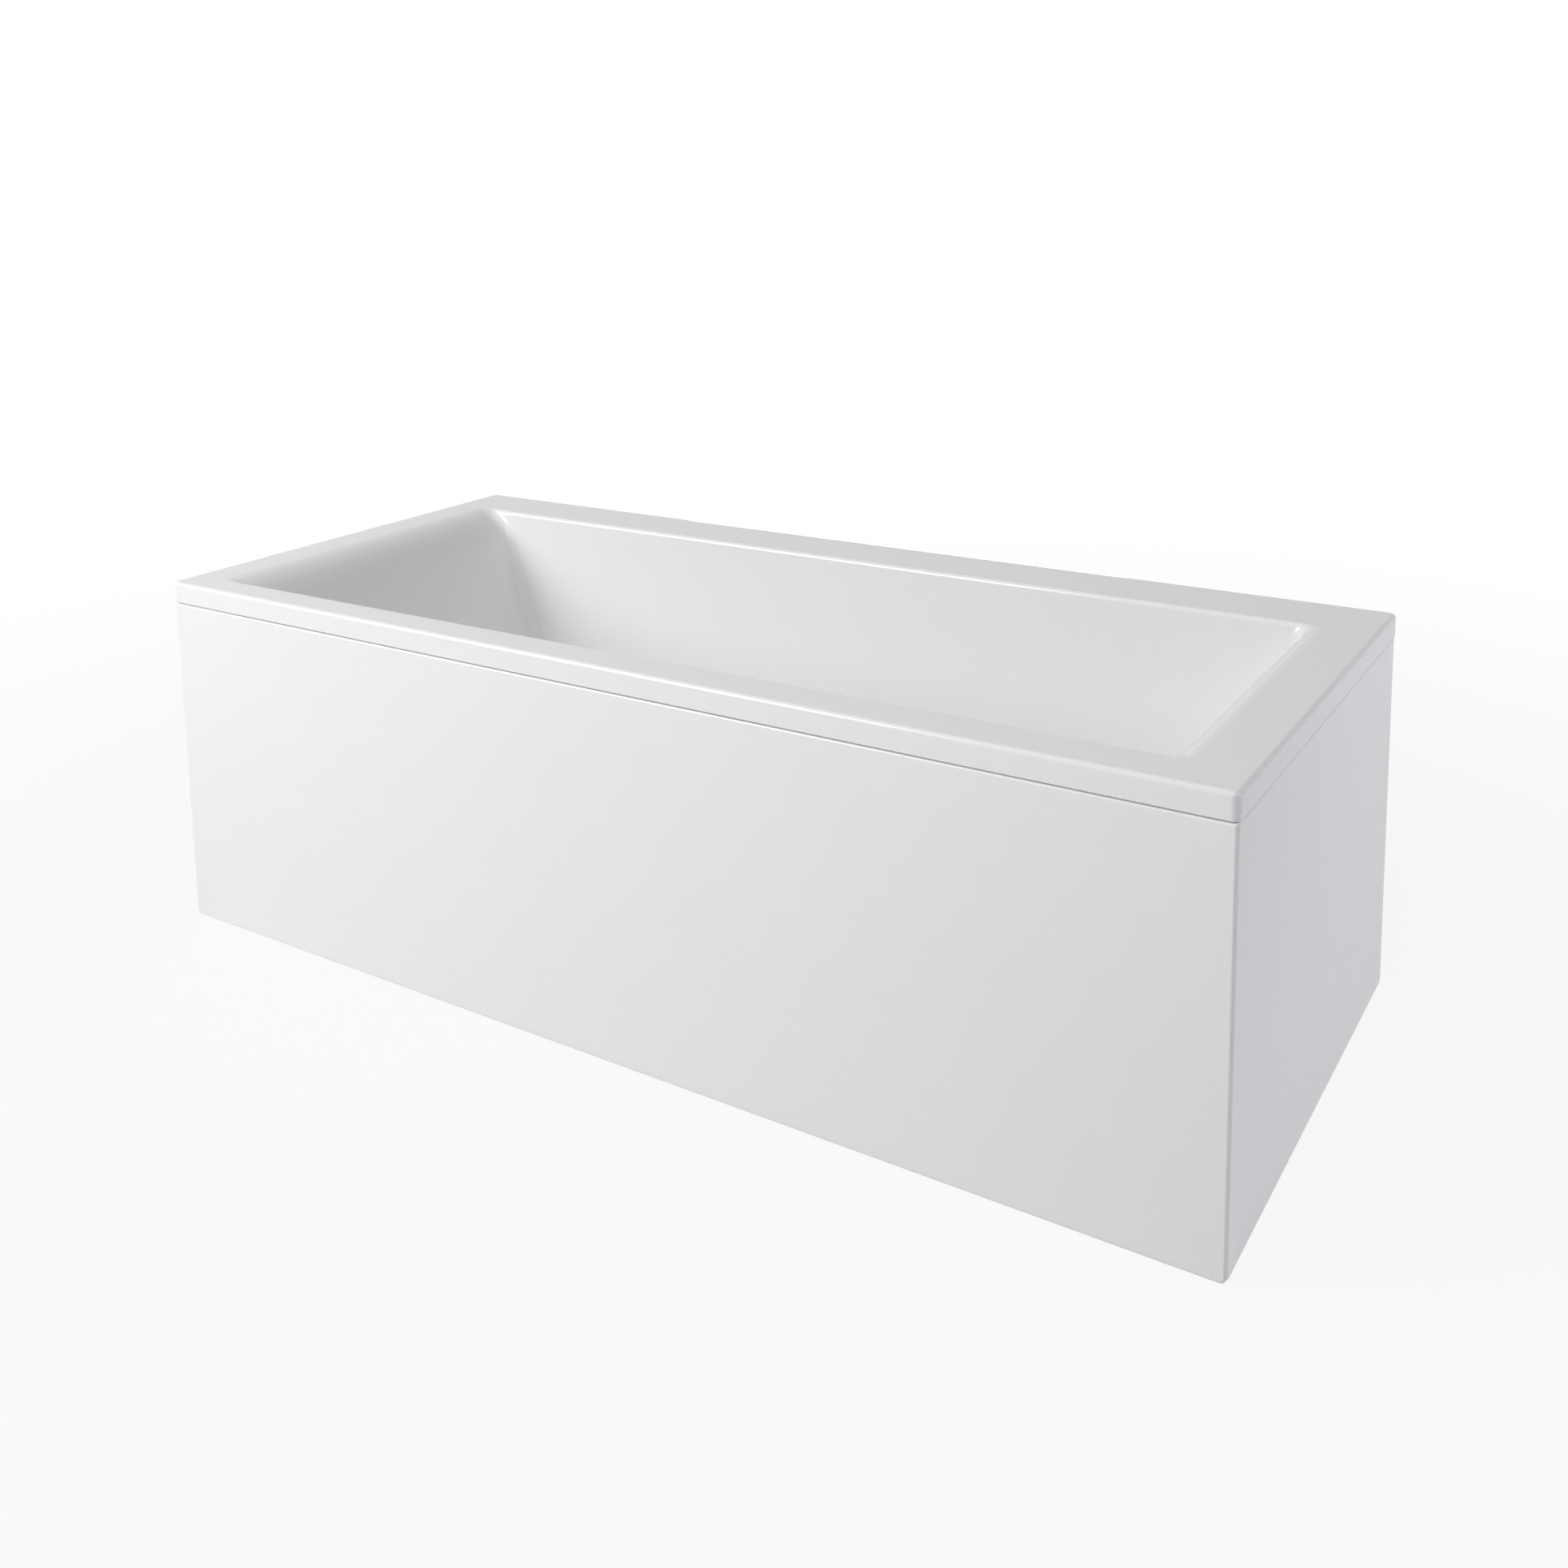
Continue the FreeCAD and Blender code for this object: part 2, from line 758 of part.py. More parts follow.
def moulded_panel(run, notches):
    """A sheet with its long edges returned inwards; the returns stop short of its two ends."""
    turn_in = cell("panel_return")
    body = folded("YZ_Plane", [
        (0, 0),
        (turn_in, 0),
        (turn_in, panel),
        (panel, panel),
        (panel, panel_height - panel),
        (turn_in, panel_height - panel),
        (turn_in, panel_height),
        (0, panel_height),
    ], run)
    for side, notch in zip((-1, 1), notches):
        sketch = new_sketch(body, "XY_Plane")
        start = (run / 2 - notch) * side
        stop = (run / 2 + 1) * side
        draw_outline(sketch, [(start, panel), (stop, panel), (stop, turn_in + 1), (start, turn_in + 1)])
        pocket(body, sketch)
    end = run.number / 2

    def bottom_corner(edge):
        bounds = edge.BoundBox
        across = bounds.XLength + bounds.ZLength < 0.01
        return across and abs(bounds.Center.x) > end - 0.01 and bounds.ZMax < 0.01

    def face_edge(edge):
        return edge.BoundBox.YMax < 0.01

    round_edges(body, bottom_corner, cell("panel_corner_radius"))
    round_edges(body, face_edge, cell("panel_edge_radius"))
    return body


notch = cell("panel_corner_radius") + 2
front_panel = moulded_panel(length - cell("panel_inset") * 2, (notch, cell("panel_return") + 2))
keep(place(front_panel, 0, panel_face_y, cell("panel_floor_gap")), "front_panel")

end_panel_start = panel_face_y + panel + cell("panel_joint_gap")
end_panel_stop = half_width - cell("panel_inset")
end_panel = moulded_panel(end_panel_stop - end_panel_start, (notch, notch))
place(end_panel, panel_face_x, (end_panel_start + end_panel_stop) / 2, cell("panel_floor_gap"), Z_AXIS, 90)
keep(end_panel, "end_panel")


# ---------------------------------------------------------------- hooks, stays, clips and brackets

def prism(corners, depth):
    """A numeric bar: a polygon of (inward, height) corners, half its depth to each side."""
    points = [vector(-depth / 2, inward, height) for inward, height in corners]
    face = Part.Face(Part.makePolygon(points + points[:1]))
    return face.extrude(X_AXIS * depth.number)


def turned_copy(shape, spot, degrees):
    """A copy turned about Z and moved to a spot."""
    copy = shape.copy()
    copy.Placement = FreeCAD.Placement(spot, FreeCAD.Rotation(Z_AXIS, degrees))
    return copy


return_under = lip_z - cell("panel_top_gap") - panel
tongue_top = return_under - clear
inset = cell("panel_inset")
hook_web = inset + cell("panel_return") + 2
hook_start = wall + cell("batten_gap") + 2
hook = prism([
    (hook_start, batten_z),
    (hook_start + cell("hook_depth"), batten_z),
    (hook_start + cell("hook_depth"), batten_z - strip),
    (hook_web + strip, batten_z - strip),
    (hook_web + strip, tongue_top - strip),
    (hook_start, tongue_top - strip),
    (hook_start, tongue_top),
    (hook_web, tongue_top),
    (hook_web, batten_z - strip),
    (hook_start, batten_z - strip),
], cell("hook_width"))
hook_screw_reach = hook_web + strip + 5
hook = hook.cut(Part.makeCylinder(screw_hole.number, strip.number * 2,
                                  vector(0, hook_screw_reach, batten_z - strip * 1.5)))
front_hook_x = [length * share for share in (-0.38, -0.13, 0.13, 0.38)]
end_hook_y = [width * share for share in (-0.24, 0.24)]
feature(Part.makeCompound([turned_copy(hook, vector(x, -half_width, 0), 0) for x in front_hook_x]),
        "front_panel_hooks")
feature(Part.makeCompound([turned_copy(hook, vector(half_length, y, 0), 90) for y in end_hook_y]),
        "end_panel_hooks")

return_top = cell("panel_floor_gap") + panel
stay_foot_z = return_top + clear
stay_web = inset + cell("panel_return") + 2
stay_toe = inset + panel + 0.5
stay_screw = stay_web - 8


def front_stay(end):
    """A cranked strip: clamped by the front foot's nut, it carries the panel's lower return."""
    top = board_z - cradle_wall
    stud_reach = half_width + basin_y - foot_half
    body = folded("YZ_Plane", [
        (stud_reach + cell("stay_reach"), top),
        (stay_web, top),
        (stay_web, stay_foot_z + strip),
        (stay_toe, stay_foot_z + strip),
        (stay_toe, stay_foot_z),
        (stay_web + strip, stay_foot_z),
        (stay_web + strip, top - strip),
        (stud_reach + cell("stay_reach"), top - strip),
    ], cell("stay_width"))
    drill(body, "XY_Plane", [(0, stud_reach)], stud_hole)
    drill(body, "XY_Plane", [(0, stay_screw)], screw_hole)
    keep(place(body, cradle_x[end], -half_width), "front_panel_stay_" + end)


front_stay("head")
front_stay("foot")

end_stay_half = board_half - cell("end_stay_inset")
end_stay_y = {"front": basin_y - end_stay_half, "back": basin_y + end_stay_half}
end_stay_reach = half_length - cradle_x["foot"] - cradle_half - cell("end_stay_gap")
end_stay_screws = [end_stay_reach - 12, end_stay_reach - 38]


def end_stay(side):
    """A long cranked strip from the board's foot end to the end panel's lower return."""
    body = folded("YZ_Plane", [
        (end_stay_reach, board_z),
        (stay_web, board_z),
        (stay_web, stay_foot_z + strip),
        (stay_toe, stay_foot_z + strip),
        (stay_toe, stay_foot_z),
        (stay_web + strip, stay_foot_z),
        (stay_web + strip, board_z - strip),
        (end_stay_reach, board_z - strip),
    ], cell("stay_width"))
    drill(body, "XY_Plane", [(0, stay_screw)] + [(0, reach) for reach in end_stay_screws],
          screw_hole)
    place(body, half_length, end_stay_y[side], 0, Z_AXIS, 90)
    keep(body, "end_panel_stay_" + side)


end_stay("front")
end_stay("back")

clip_leg = cell("corner_clip_leg")
clip_x = panel_face_x - panel - clear
clip_y = panel_face_y + panel + clear
clips = []
for share in (0.25, 0.7):
    base = vector(clip_x, clip_y, panel_height * share)
    leg = clip_leg.number
    thin = strip.number
    steps = [(0, 0), (0, leg), (-thin, leg), (-thin, thin), (-leg, thin), (-leg, 0), (0, 0)]
    corner = Part.makePolygon([base + FreeCAD.Vector(x, y, 0) for x, y in steps])
    clips.append(Part.Face(corner).extrude(Z_AXIS * cell("corner_clip_height").number))
feature(Part.makeCompound(clips), "panel_corner_clips")

bracket_screw_y = -cell("bracket_depth") * 0.6
bracket_screw_x = cell("bracket_width") / 3
wall_brackets = {
    "back_head": (-length * 0.3, half_width, 0),
    "back_foot": (length * 0.3, half_width, 0),
    "head": (-half_length, basin_y, 90),
}


def wall_bracket(name):
    """A cranked steel bracket: flat on the wall below the lip, then up inside it to the batten."""
    jog = batten_z - lip_z + cell("bracket_lip_gap")
    inside = wall + 0.5
    x, y, turn = wall_brackets[name]
    body = folded("YZ_Plane", [
        (0, -cell("bracket_drop")),
        (0, -jog),
        (-inside, -jog),
        (-inside, 0),
        (-cell("bracket_depth"), 0),
        (-cell("bracket_depth"), -strip),
        (-inside - strip, -strip),
        (-inside - strip, -jog - strip),
        (-strip, -jog - strip),
        (-strip, -cell("bracket_drop")),
    ], cell("bracket_width"))
    spread = cell("bracket_hole_spacing") / 2
    holes = [(-spread, -cell("bracket_hole_drop")), (spread, -cell("bracket_hole_drop"))]
    drill(body, "XZ_Plane", holes, cell("bracket_hole_radius"))
    drill(body, "XY_Plane", [(-bracket_screw_x, bracket_screw_y), (bracket_screw_x, bracket_screw_y)],
          screw_hole)
    keep(place(body, x, y, batten_z, Z_AXIS, turn), "wall_bracket_" + name)


for name in wall_brackets:
    wall_bracket(name)


# ---------------------------------------------------------------- screws

def screw(spot, upwards=True):
    """A pan-head screw: the spot is the seat of its head."""
    way = 1 if upwards else -1
    head_height = cell("screw_head_height").number
    shank_length = cell("screw_length").number if upwards else cell("screw_length").number / 2.5
    shank = Part.makeCylinder(cell("screw_radius").number, shank_length, spot, Z_AXIS * way)
    head = Part.makeCylinder(cell("screw_head_radius").number, head_height, spot, Z_AXIS * -way)
    return shank.fuse(head).removeSplitter()


def seats(spots):
    return Part.makeCompound([screw(vector(*spot)) for spot in spots])


cradle_seats = [(x, basin_y + step, board_z - cradle_wall) for x in cradle_x.values() for step in screw_steps]
feature(seats(cradle_seats), "cradle_screws")

board_seats = [(plate_hole * x, basin_y + plate_hole * y, board_z - strip) for x in (-1, 1) for y in (-1, 1)]
for y in end_stay_y.values():
    board_seats += [(half_length - reach, y, board_z - strip) for reach in end_stay_screws]
feature(seats(board_seats), "board_screws")

rim_seats = [(x, -half_width + hook_screw_reach, batten_z - strip) for x in front_hook_x]
rim_seats += [(half_length - hook_screw_reach, y, batten_z - strip) for y in end_hook_y]
for x, y, turn in wall_brackets.values():
    for way in (-1, 1):
        along = bracket_screw_x * way
        if turn:
            rim_seats.append((x - bracket_screw_y, y + along, batten_z - strip))
        else:
            rim_seats.append((x + along, y + bracket_screw_y, batten_z - strip))
feature(seats(rim_seats), "rim_screws")

panel_seats = [(x, -half_width + stay_screw, stay_foot_z + strip) for x in cradle_x.values()]
panel_seats += [(half_length - stay_screw, y, stay_foot_z + strip) for y in end_stay_y.values()]
feature(Part.makeCompound([screw(vector(*spot), upwards=False) for spot in panel_seats]), "panel_screws")


# ---------------------------------------------------------------- waste and overflow outlets

flange = cell("flange_radius")
sleeve_bore = cell("sleeve_bore")
sleeve_radius = sleeve_bore + cell("sleeve_wall")
thread_bore = sleeve_radius + cell("sleeve_clearance")
chamber = thread_bore + cell("chamber_wall")
gasket = cell("gasket_thickness")
hub_drop = cell("hub_height") + cell("sleeve_length") * 0.25
stem = cell("stem_radius")
running = cell("running_clearance")


def strainer():
    """A flange with a threaded sleeve, and inside it a cross that carries a bored hub."""
    thickness = cell("flange_thickness")
    ring = turned([
        (sleeve_bore, -cell("sleeve_length")),
        (sleeve_radius, -cell("sleeve_length")),
        (sleeve_radius, 0),
        (flange, 0),
        (flange, thickness - 1),
        (flange - 2, thickness),
        (sleeve_bore, thickness),
    ])
    hub = cylinder(cell("hub_radius"), cell("hub_height"), z=-hub_drop)
    half = cell("arm_width") / 2
    reach = sleeve_bore + 0.5
    arm = box(-reach, reach, -half, half, -hub_drop, -hub_drop + cell("hub_height") / 2)
    crossing = box(-half, half, -reach, reach, -hub_drop, -hub_drop + cell("hub_height") / 2)
    return cut(fuse(ring, hub, arm, crossing),
               cylinder(stem + running, cell("hub_height") + 2, z=-hub_drop - 1))


def ring_gasket():
    """A flat rubber ring between the shell and the body behind it."""
    return turned([
        (cell("outlet_hole_radius") + 0.2, -gasket),
        (flange, -gasket),
        (flange, 0),
        (cell("outlet_hole_radius") + 0.2, 0),
    ])


recess_z = floor_z - cell("waste_recess_depth")
waste_back = recess_z - wall
keep(place(strainer(), waste_x, basin_y, recess_z), "waste_flange")
keep(place(ring_gasket(), waste_x, basin_y, waste_back), "waste_gasket")

body_top = waste_back - gasket
chamber_floor = body_top - cell("chamber_height")
spigot_z = body_top - cell("waste_spigot_drop")
spigot = cell("spigot_radius")
spigot_reach = cell("spigot_reach")
pipe = cell("trap_radius")
pipe_bore = cell("trap_bore")
trap_top = chamber_floor - cell("outlet_stub")
guide_z = spigot_z - 16
cable_port = cell("hub_radius") + 3
cable_hole = cell("cable_radius") + running * 3


def waste_body():
    """The chamber under the waste: hose spigot at the side, pipe stub below, cable port."""
    floor_wall = cell("chamber_wall")
    barrel = turned([
        (pipe_bore, trap_top),
        (pipe, trap_top),
        (pipe, chamber_floor),
        (chamber, chamber_floor),
        (chamber, body_top - gasket),
        (flange, body_top - gasket),
        (flange, body_top),
        (thread_bore, body_top),
        (thread_bore, chamber_floor + floor_wall),
        (pipe_bore, chamber_floor + floor_wall),
    ])
    arm = cylinder(spigot, spigot_reach - 18, 18, 0, spigot_z, Y_AXIS, 90)
    hollow = cylinder(thread_bore, cell("chamber_height"), z=chamber_floor + floor_wall)
    bore = cylinder(cell("spigot_bore"), spigot_reach, thread_bore - 3, 0, spigot_z, Y_AXIS, 90)
    port = cylinder(cable_hole, chamber + 5, 0, 0, guide_z, X_AXIS, 90)
    item = cut(fuse(barrel, arm), hollow, bore, port)
    keep(place(item, waste_x, basin_y), "waste_body")


waste_body()


def cable_guide():
    """The block on a bar across the chamber, where the cable's end turns up under the pin."""
    half = cell("arm_width") / 2
    block = cylinder(cell("hub_radius"), cell("guide_height"), z=guide_z - 6)
    reach = thread_bore - clear
    bar = box(-reach, reach, -half, half, guide_z - 6, guide_z + 2)
    nose = cylinder(cell("gland_radius"), cable_port, 0, 0, guide_z, X_AXIS, 90)
    item = cut(fuse(block, bar, nose),
               cylinder(cell("pin_radius") + running, cell("guide_height"), z=guide_z + 6))
    keep(place(item, waste_x, basin_y), "cable_guide")


cable_guide()

plug_seat = recess_z + cell("flange_thickness")
seal = cell("seal_thickness")
plug_z = plug_seat + running + seal
stem_end = recess_z - hub_drop - 6
keep(place(turned([
    (0, stem_end),
    (stem, stem_end),
    (stem, plug_z),
    (cell("plug_radius"), plug_z),
    (cell("plug_radius"), plug_z + 1.5),
    (cell("plug_radius") * 0.7, plug_z + cell("plug_dome") * 0.7),
    (cell("plug_radius") * 0.35, plug_z + cell("plug_dome") * 0.95),
    (0, plug_z + cell("plug_dome")),
]), waste_x, basin_y), "waste_plug")
keep(place(turned([
    (sleeve_bore + 1, plug_z - seal),
    (cell("plug_radius") - 2, plug_z - seal),
    (cell("plug_radius") - 2, plug_z),
    (sleeve_bore + 1, plug_z),
]), waste_x, basin_y), "plug_seal")
keep(place(cylinder(cell("pin_radius"), cell("pin_length")), waste_x, basin_y,
           stem_end - cell("pin_length")), "lift_pin")


# Overflow pieces are drawn with +Z out of the end wall into the basin, and -X down the wall.

def on_overflow(item, label):
    """Seat a piece on the leaning end wall."""
    return keep(place(item, overflow_x, basin_y, overflow_z, Y_AXIS, overflow_turn), label)


on_overflow(strainer(), "overflow_flange")
overflow_gasket = ring_gasket()
back = -wall - gasket


def behind_wall(item, label, inward):
    """Seat a piece a distance in from the end wall's face, square to it."""
    x, z = wall_spot(inward)
    return keep(place(item, x, basin_y, z, Y_AXIS, overflow_turn), label)


behind_wall(overflow_gasket, "overflow_gasket", -wall)

chamber_end = back - gasket - cell("overflow_chamber_height")
overflow_spigot = back - cell("overflow_spigot_drop")


def overflow_body():
    """The chamber behind the overflow, with a spigot down the wall for the hose."""
    end_wall = cell("chamber_wall")
    barrel = turned([
        (stem + running * 2, chamber_end),
        (chamber, chamber_end),
        (chamber, back - gasket),
        (flange, back - gasket),
        (flange, back),
        (thread_bore, back),
        (thread_bore, chamber_end + end_wall),
        (stem + running * 2, chamber_end + end_wall),
    ])
    arm = cylinder(spigot, spigot_reach - 18, -18, 0, overflow_spigot, Y_AXIS, -90)
    hollow = cylinder(thread_bore, cell("overflow_chamber_height"), z=chamber_end + end_wall)
    bore = cylinder(cell("spigot_bore"), spigot_reach, -thread_bore + 3, 0, overflow_spigot, Y_AXIS, -90)
    on_overflow(cut(fuse(barrel, arm), hollow, bore), "overflow_body")


overflow_body()

housing = cell("housing_radius")
housing_wall = cell("housing_wall")
housing_end = chamber_end - clear - cell("housing_height")
gland_y = cell("drum_radius") - 1.5
gland_z = housing_end + cell("housing_height") / 2


def drive_housing():
    """The cap over the cable drum, with the cable's gland at its lower side."""
    cavity = housing - housing_wall
    cap = turned([
        (0, housing_end),
        (housing, housing_end),
        (housing, chamber_end - clear),
        (cavity, chamber_end - clear),
        (cavity, housing_end + housing_wall),
        (0, housing_end + housing_wall),
    ])
    gland = cylinder(cell("gland_radius"), housing + cell("gland_stand") - 8, -8, -gland_y, gland_z,
                     Y_AXIS, -90)
    hollow = cylinder(cavity, cell("housing_height"), z=housing_end + housing_wall)
    bore = cylinder(cable_hole, housing * 2, 0, -gland_y, gland_z, Y_AXIS, -90)
    on_overflow(cut(fuse(cap, gland), hollow, bore), "drive_housing")


drive_housing()

knob_base = cell("flange_thickness") + cell("knob_gap")
knob_top = knob_base + cell("knob_height")
spindle_top = knob_top - cell("knob_wall") * 2
drum_low = housing_end + housing_wall + 1
on_overflow(turned([
    (0, drum_low),
    (cell("drum_radius"), drum_low),
    (cell("drum_radius"), drum_low + cell("drum_height")),
    (stem, drum_low + cell("drum_height")),
    (stem, spindle_top),
    (0, spindle_top),
]), "knob_spindle")


def overflow_knob():
    """A round cap on the spindle, open at its edge to let the water in, with a grip across it."""
    radius = cell("knob_radius")
    skin = cell("knob_wall")
    cap = turned([
        (radius - skin, knob_base),
        (radius, knob_base),
        (radius, knob_top - 2),
        (radius - 2, knob_top),
        (0, knob_top),
        (0, spindle_top),
        (stem + running, spindle_top),
        (stem + running, knob_base),
        (stem * 2, knob_base),
        (stem * 2, knob_top - skin),
        (radius - skin, knob_top - skin),
    ])
    half = cell("grip_width") / 2
    reach = radius * 0.85
    grip = box(-reach, reach, -half, half, knob_top - 1, knob_top + cell("grip_height"))
    on_overflow(fuse(cap, grip), "overflow_knob")


overflow_knob()


# ---------------------------------------------------------------- hose, cable and union nuts

hose_reach = spigot_reach - cell("hose_overlap")
hose_x, hose_z = wall_spot(overflow_spigot, hose_reach)
hose_start = vector(hose_x, basin_y, hose_z)
hose_end = vector(waste_x + hose_reach, basin_y, spigot_z)
hose_corner = hose_start + down_wall * ((hose_z - spigot_z) / lean_cos).number


def hose():
    """A ribbed hose: one straight run down the wall, one bend, and a plain cuff at each end."""
    path = rounded_wire([hose_start, hose_corner, hose_end], [0, cell("hose_bend").number, 0], False)
    bore_radius = cell("hose_bore").number
    root = bore_radius + cell("hose_wall").number
    crest = cell("hose_rib_radius").number
    cuff = cell("hose_cuff").number
    pitch = cell("hose_rib_pitch").number
    total = path.Length

    def ring(along, radius):
        rest = along
        for edge in path.OrderedEdges:
            if rest <= edge.Length + 1e-9:
                break
            rest -= edge.Length
        spot = edge.getParameterByLength(min(rest, edge.Length))
        circle = Part.Circle()
        circle.Center = edge.valueAt(spot)
        circle.Axis = edge.tangentAt(spot)
        circle.XAxis = Y_AXIS
        circle.Radius = radius
        return Part.Wire(circle.toShape())

    ribs = int((total - 2 * cuff) / pitch)
    margin = (total - ribs * pitch) / 2
    rings = [ring(0, root)]
    for rib in range(ribs):
        start = margin + rib * pitch
        rings.append(ring(start, root))
        rings.append(ring(start + pitch * 0.25, crest))
        rings.append(ring(start + pitch * 0.6, crest))
        rings.append(ring(start + pitch * 0.85, root))
    rings.append(ring(total, root))
    outside = Part.makeLoft(rings, True, True)
    return outside.cut(swept(path, bore_radius))


feature(hose(), "overflow_hose")


def ring_nut(bore, label, x, z, axis=None, angle=None, y=basin_y):
    """A plain round union nut that starts at a point and runs along its own axis."""
    outer = bore + cell("nut_ring_wall")
    height = cell("nut_ring_height")
    body = turned([
        (bore, 0),
        (outer - 1, 0),
        (outer, 1),
        (outer, height - 1),
        (outer - 1, height),
        (bore, height),
    ])
    keep(place(body, x, y, z, axis, angle), label)


hose_nut_bore = cell("hose_bore") + cell("hose_wall") + clear
nut_x, nut_z = wall_spot(overflow_spigot, hose_reach + 4 + cell("nut_ring_height"))
ring_nut(hose_nut_bore, "hose_nut_top", nut_x, nut_z, Y_AXIS, cell("foot_lean"))
ring_nut(hose_nut_bore, "hose_nut_bottom", waste_x + hose_reach + 4, spigot_z, Y_AXIS, 90)


def cable():
    """The sheathed cable: down behind the hose, aside, along the floor, into the waste's port."""
    top_x, top_z = wall_spot(gland_z, cavity_edge)
    start = vector(top_x, basin_y - gland_y, top_z)
    below = start + down_wall * (cell("cable_bend").number * 1.6)
    drop = (below.z - guide_z.number) * math.tan(math.radians(cell("foot_lean").number))
    side_y = (basin_y - cell("cable_offset")).number
    path = rounded_wire([
        start,
        below,
        FreeCAD.Vector(below.x - drop, side_y, guide_z.number),
        FreeCAD.Vector(waste_x.number, side_y, guide_z.number),
        vector(waste_x, basin_y - cable_port, guide_z),
    ], [0] + [cell("cable_bend").number] * 3 + [0], False)
    rod = swept(path, cell("cable_radius").number)
    section = math.pi * cell("cable_radius").number ** 2
    if abs(rod.Volume / (section * path.Length) - 1) > 0.01:
        raise RuntimeError("the cable's volume is not its section times its length")
    return rod


cavity_edge = cell("housing_radius") - cell("housing_wall") * 2
feature(cable(), "control_cable")


# ---------------------------------------------------------------- trap and outlet pipe

trap_bend = cell("trap_bend")
trap_low = cell("trap_ground_clearance") + pipe
outlet_z = trap_low + trap_bend * 2
trap_end = basin_y + trap_bend * 4


def trap():
    """A tube that goes down, round a U and out level."""
    first = vector(waste_x, basin_y, trap_top - clear)
    points = [
        first,
        vector(waste_x, basin_y, trap_low),
        vector(waste_x, basin_y + trap_bend * 2, trap_low),
        vector(waste_x, basin_y + trap_bend * 2, outlet_z),
        vector(waste_x, trap_end, outlet_z),
    ]
    bend = trap_bend.number
    path = rounded_wire(points, [0, bend, bend, bend, 0], False)
    return swept(path, pipe.number, pipe_bore.number)


feature(trap(), "trap_body")
trap_nut_bore = pipe + clear
ring_nut(trap_nut_bore, "trap_inlet_nut", waste_x, trap_top - 8)
ring_nut(trap_nut_bore, "trap_outlet_nut", waste_x, outlet_z, X_AXIS, -90, trap_end - 10)

outlet_start = trap_end + clear
outlet_run = half_width - cell("outlet_end_gap") - outlet_start
bead_end = outlet_run - cell("outlet_spigot")
outlet_pipe = turned([
    (pipe_bore, 0),
    (pipe, 0),
    (pipe, bead_end - 5),
    (pipe + 2, bead_end - 5),
    (pipe + 2, bead_end),
    (pipe, bead_end),
    (pipe, outlet_run),
    (pipe_bore, outlet_run),
])
keep(place(outlet_pipe, waste_x, outlet_start, outlet_z, X_AXIS, -90), "outlet_pipe")


# ---------------------------------------------------------------- checks and files

doc.recompute()
for item in doc.Objects:
    if "Invalid" in item.State or "Error" in item.State:
        raise RuntimeError(f"{item.Label} does not compute: {item.State}")
for node in nodes:
    if node.Shape.isNull() or not node.Shape.isValid():
        raise RuntimeError(f"{node.Label} is not a sound solid")
    node.Shape.exportStep(f"parts/{node.Label}.step")
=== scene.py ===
"""A corner bath in white acrylic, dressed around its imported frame. Lengths are in metres."""
import json
import math

import bpy
from bpy.props import FloatProperty, FloatVectorProperty, PointerProperty
from mathutils import Matrix, Vector


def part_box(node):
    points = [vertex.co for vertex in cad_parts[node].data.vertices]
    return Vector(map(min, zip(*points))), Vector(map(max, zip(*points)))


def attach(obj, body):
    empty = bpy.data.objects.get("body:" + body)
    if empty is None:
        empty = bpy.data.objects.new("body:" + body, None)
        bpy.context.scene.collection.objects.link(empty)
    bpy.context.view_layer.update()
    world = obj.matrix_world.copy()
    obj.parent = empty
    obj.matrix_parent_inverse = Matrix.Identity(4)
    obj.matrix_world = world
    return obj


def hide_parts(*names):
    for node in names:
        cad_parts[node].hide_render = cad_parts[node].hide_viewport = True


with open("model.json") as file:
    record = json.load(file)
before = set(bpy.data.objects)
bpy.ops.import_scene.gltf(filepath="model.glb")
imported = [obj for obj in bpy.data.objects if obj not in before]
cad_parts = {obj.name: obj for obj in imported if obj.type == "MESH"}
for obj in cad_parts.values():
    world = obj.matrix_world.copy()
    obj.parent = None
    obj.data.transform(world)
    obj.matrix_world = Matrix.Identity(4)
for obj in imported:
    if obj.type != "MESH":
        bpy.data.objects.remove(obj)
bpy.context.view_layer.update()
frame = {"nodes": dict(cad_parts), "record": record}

bl_info = {
    "name": "Corner bath",
    "version": (1, 0, 0),
    "blender": (4, 5, 0),
    "location": "View3D > Sidebar > Bath",
    "description": "Dresses the packed bath: moulded shell, panels, supports, waste and overflow",
    "category": "Object",
}

MM = 0.001
SLOTS = {entry["node"]: entry["material_slot"] for entry in frame["record"]["subparts"]}
SHELL_LOW, SHELL_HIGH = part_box("tub_shell")
HEAD_X, FRONT_Y = SHELL_LOW.x, SHELL_LOW.y
FOOT_X, BACK_Y, RIM_Z = SHELL_HIGH


def middle(node):
    """The centre of a CAD node's box."""
    low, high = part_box(node)
    return (low + high) / 2


WASTE = middle("waste_flange")


def linear(colour):
    """An sRGB hex colour as the linear values that a shader takes."""
    channels = [int(colour[start:start + 2], 16) / 255 for start in (1, 3, 5)]
    return [level / 12.92 if level <= 0.04045 else ((level + 0.055) / 1.055) ** 2.4 for level in channels]


# ---------------------------------------------------------------- sizes and colours a user would change

def length_prop(name, description, default):
    return FloatProperty(name=name, description=description, default=default, unit="LENGTH")


def angle_prop(name, description, degrees):
    return FloatProperty(name=name, description=description, default=math.radians(degrees), subtype="ANGLE")


def colour_prop(name, description, colour):
    return FloatVectorProperty(name=name, description=description, default=linear(colour), subtype="COLOR",
                               min=0, max=1)


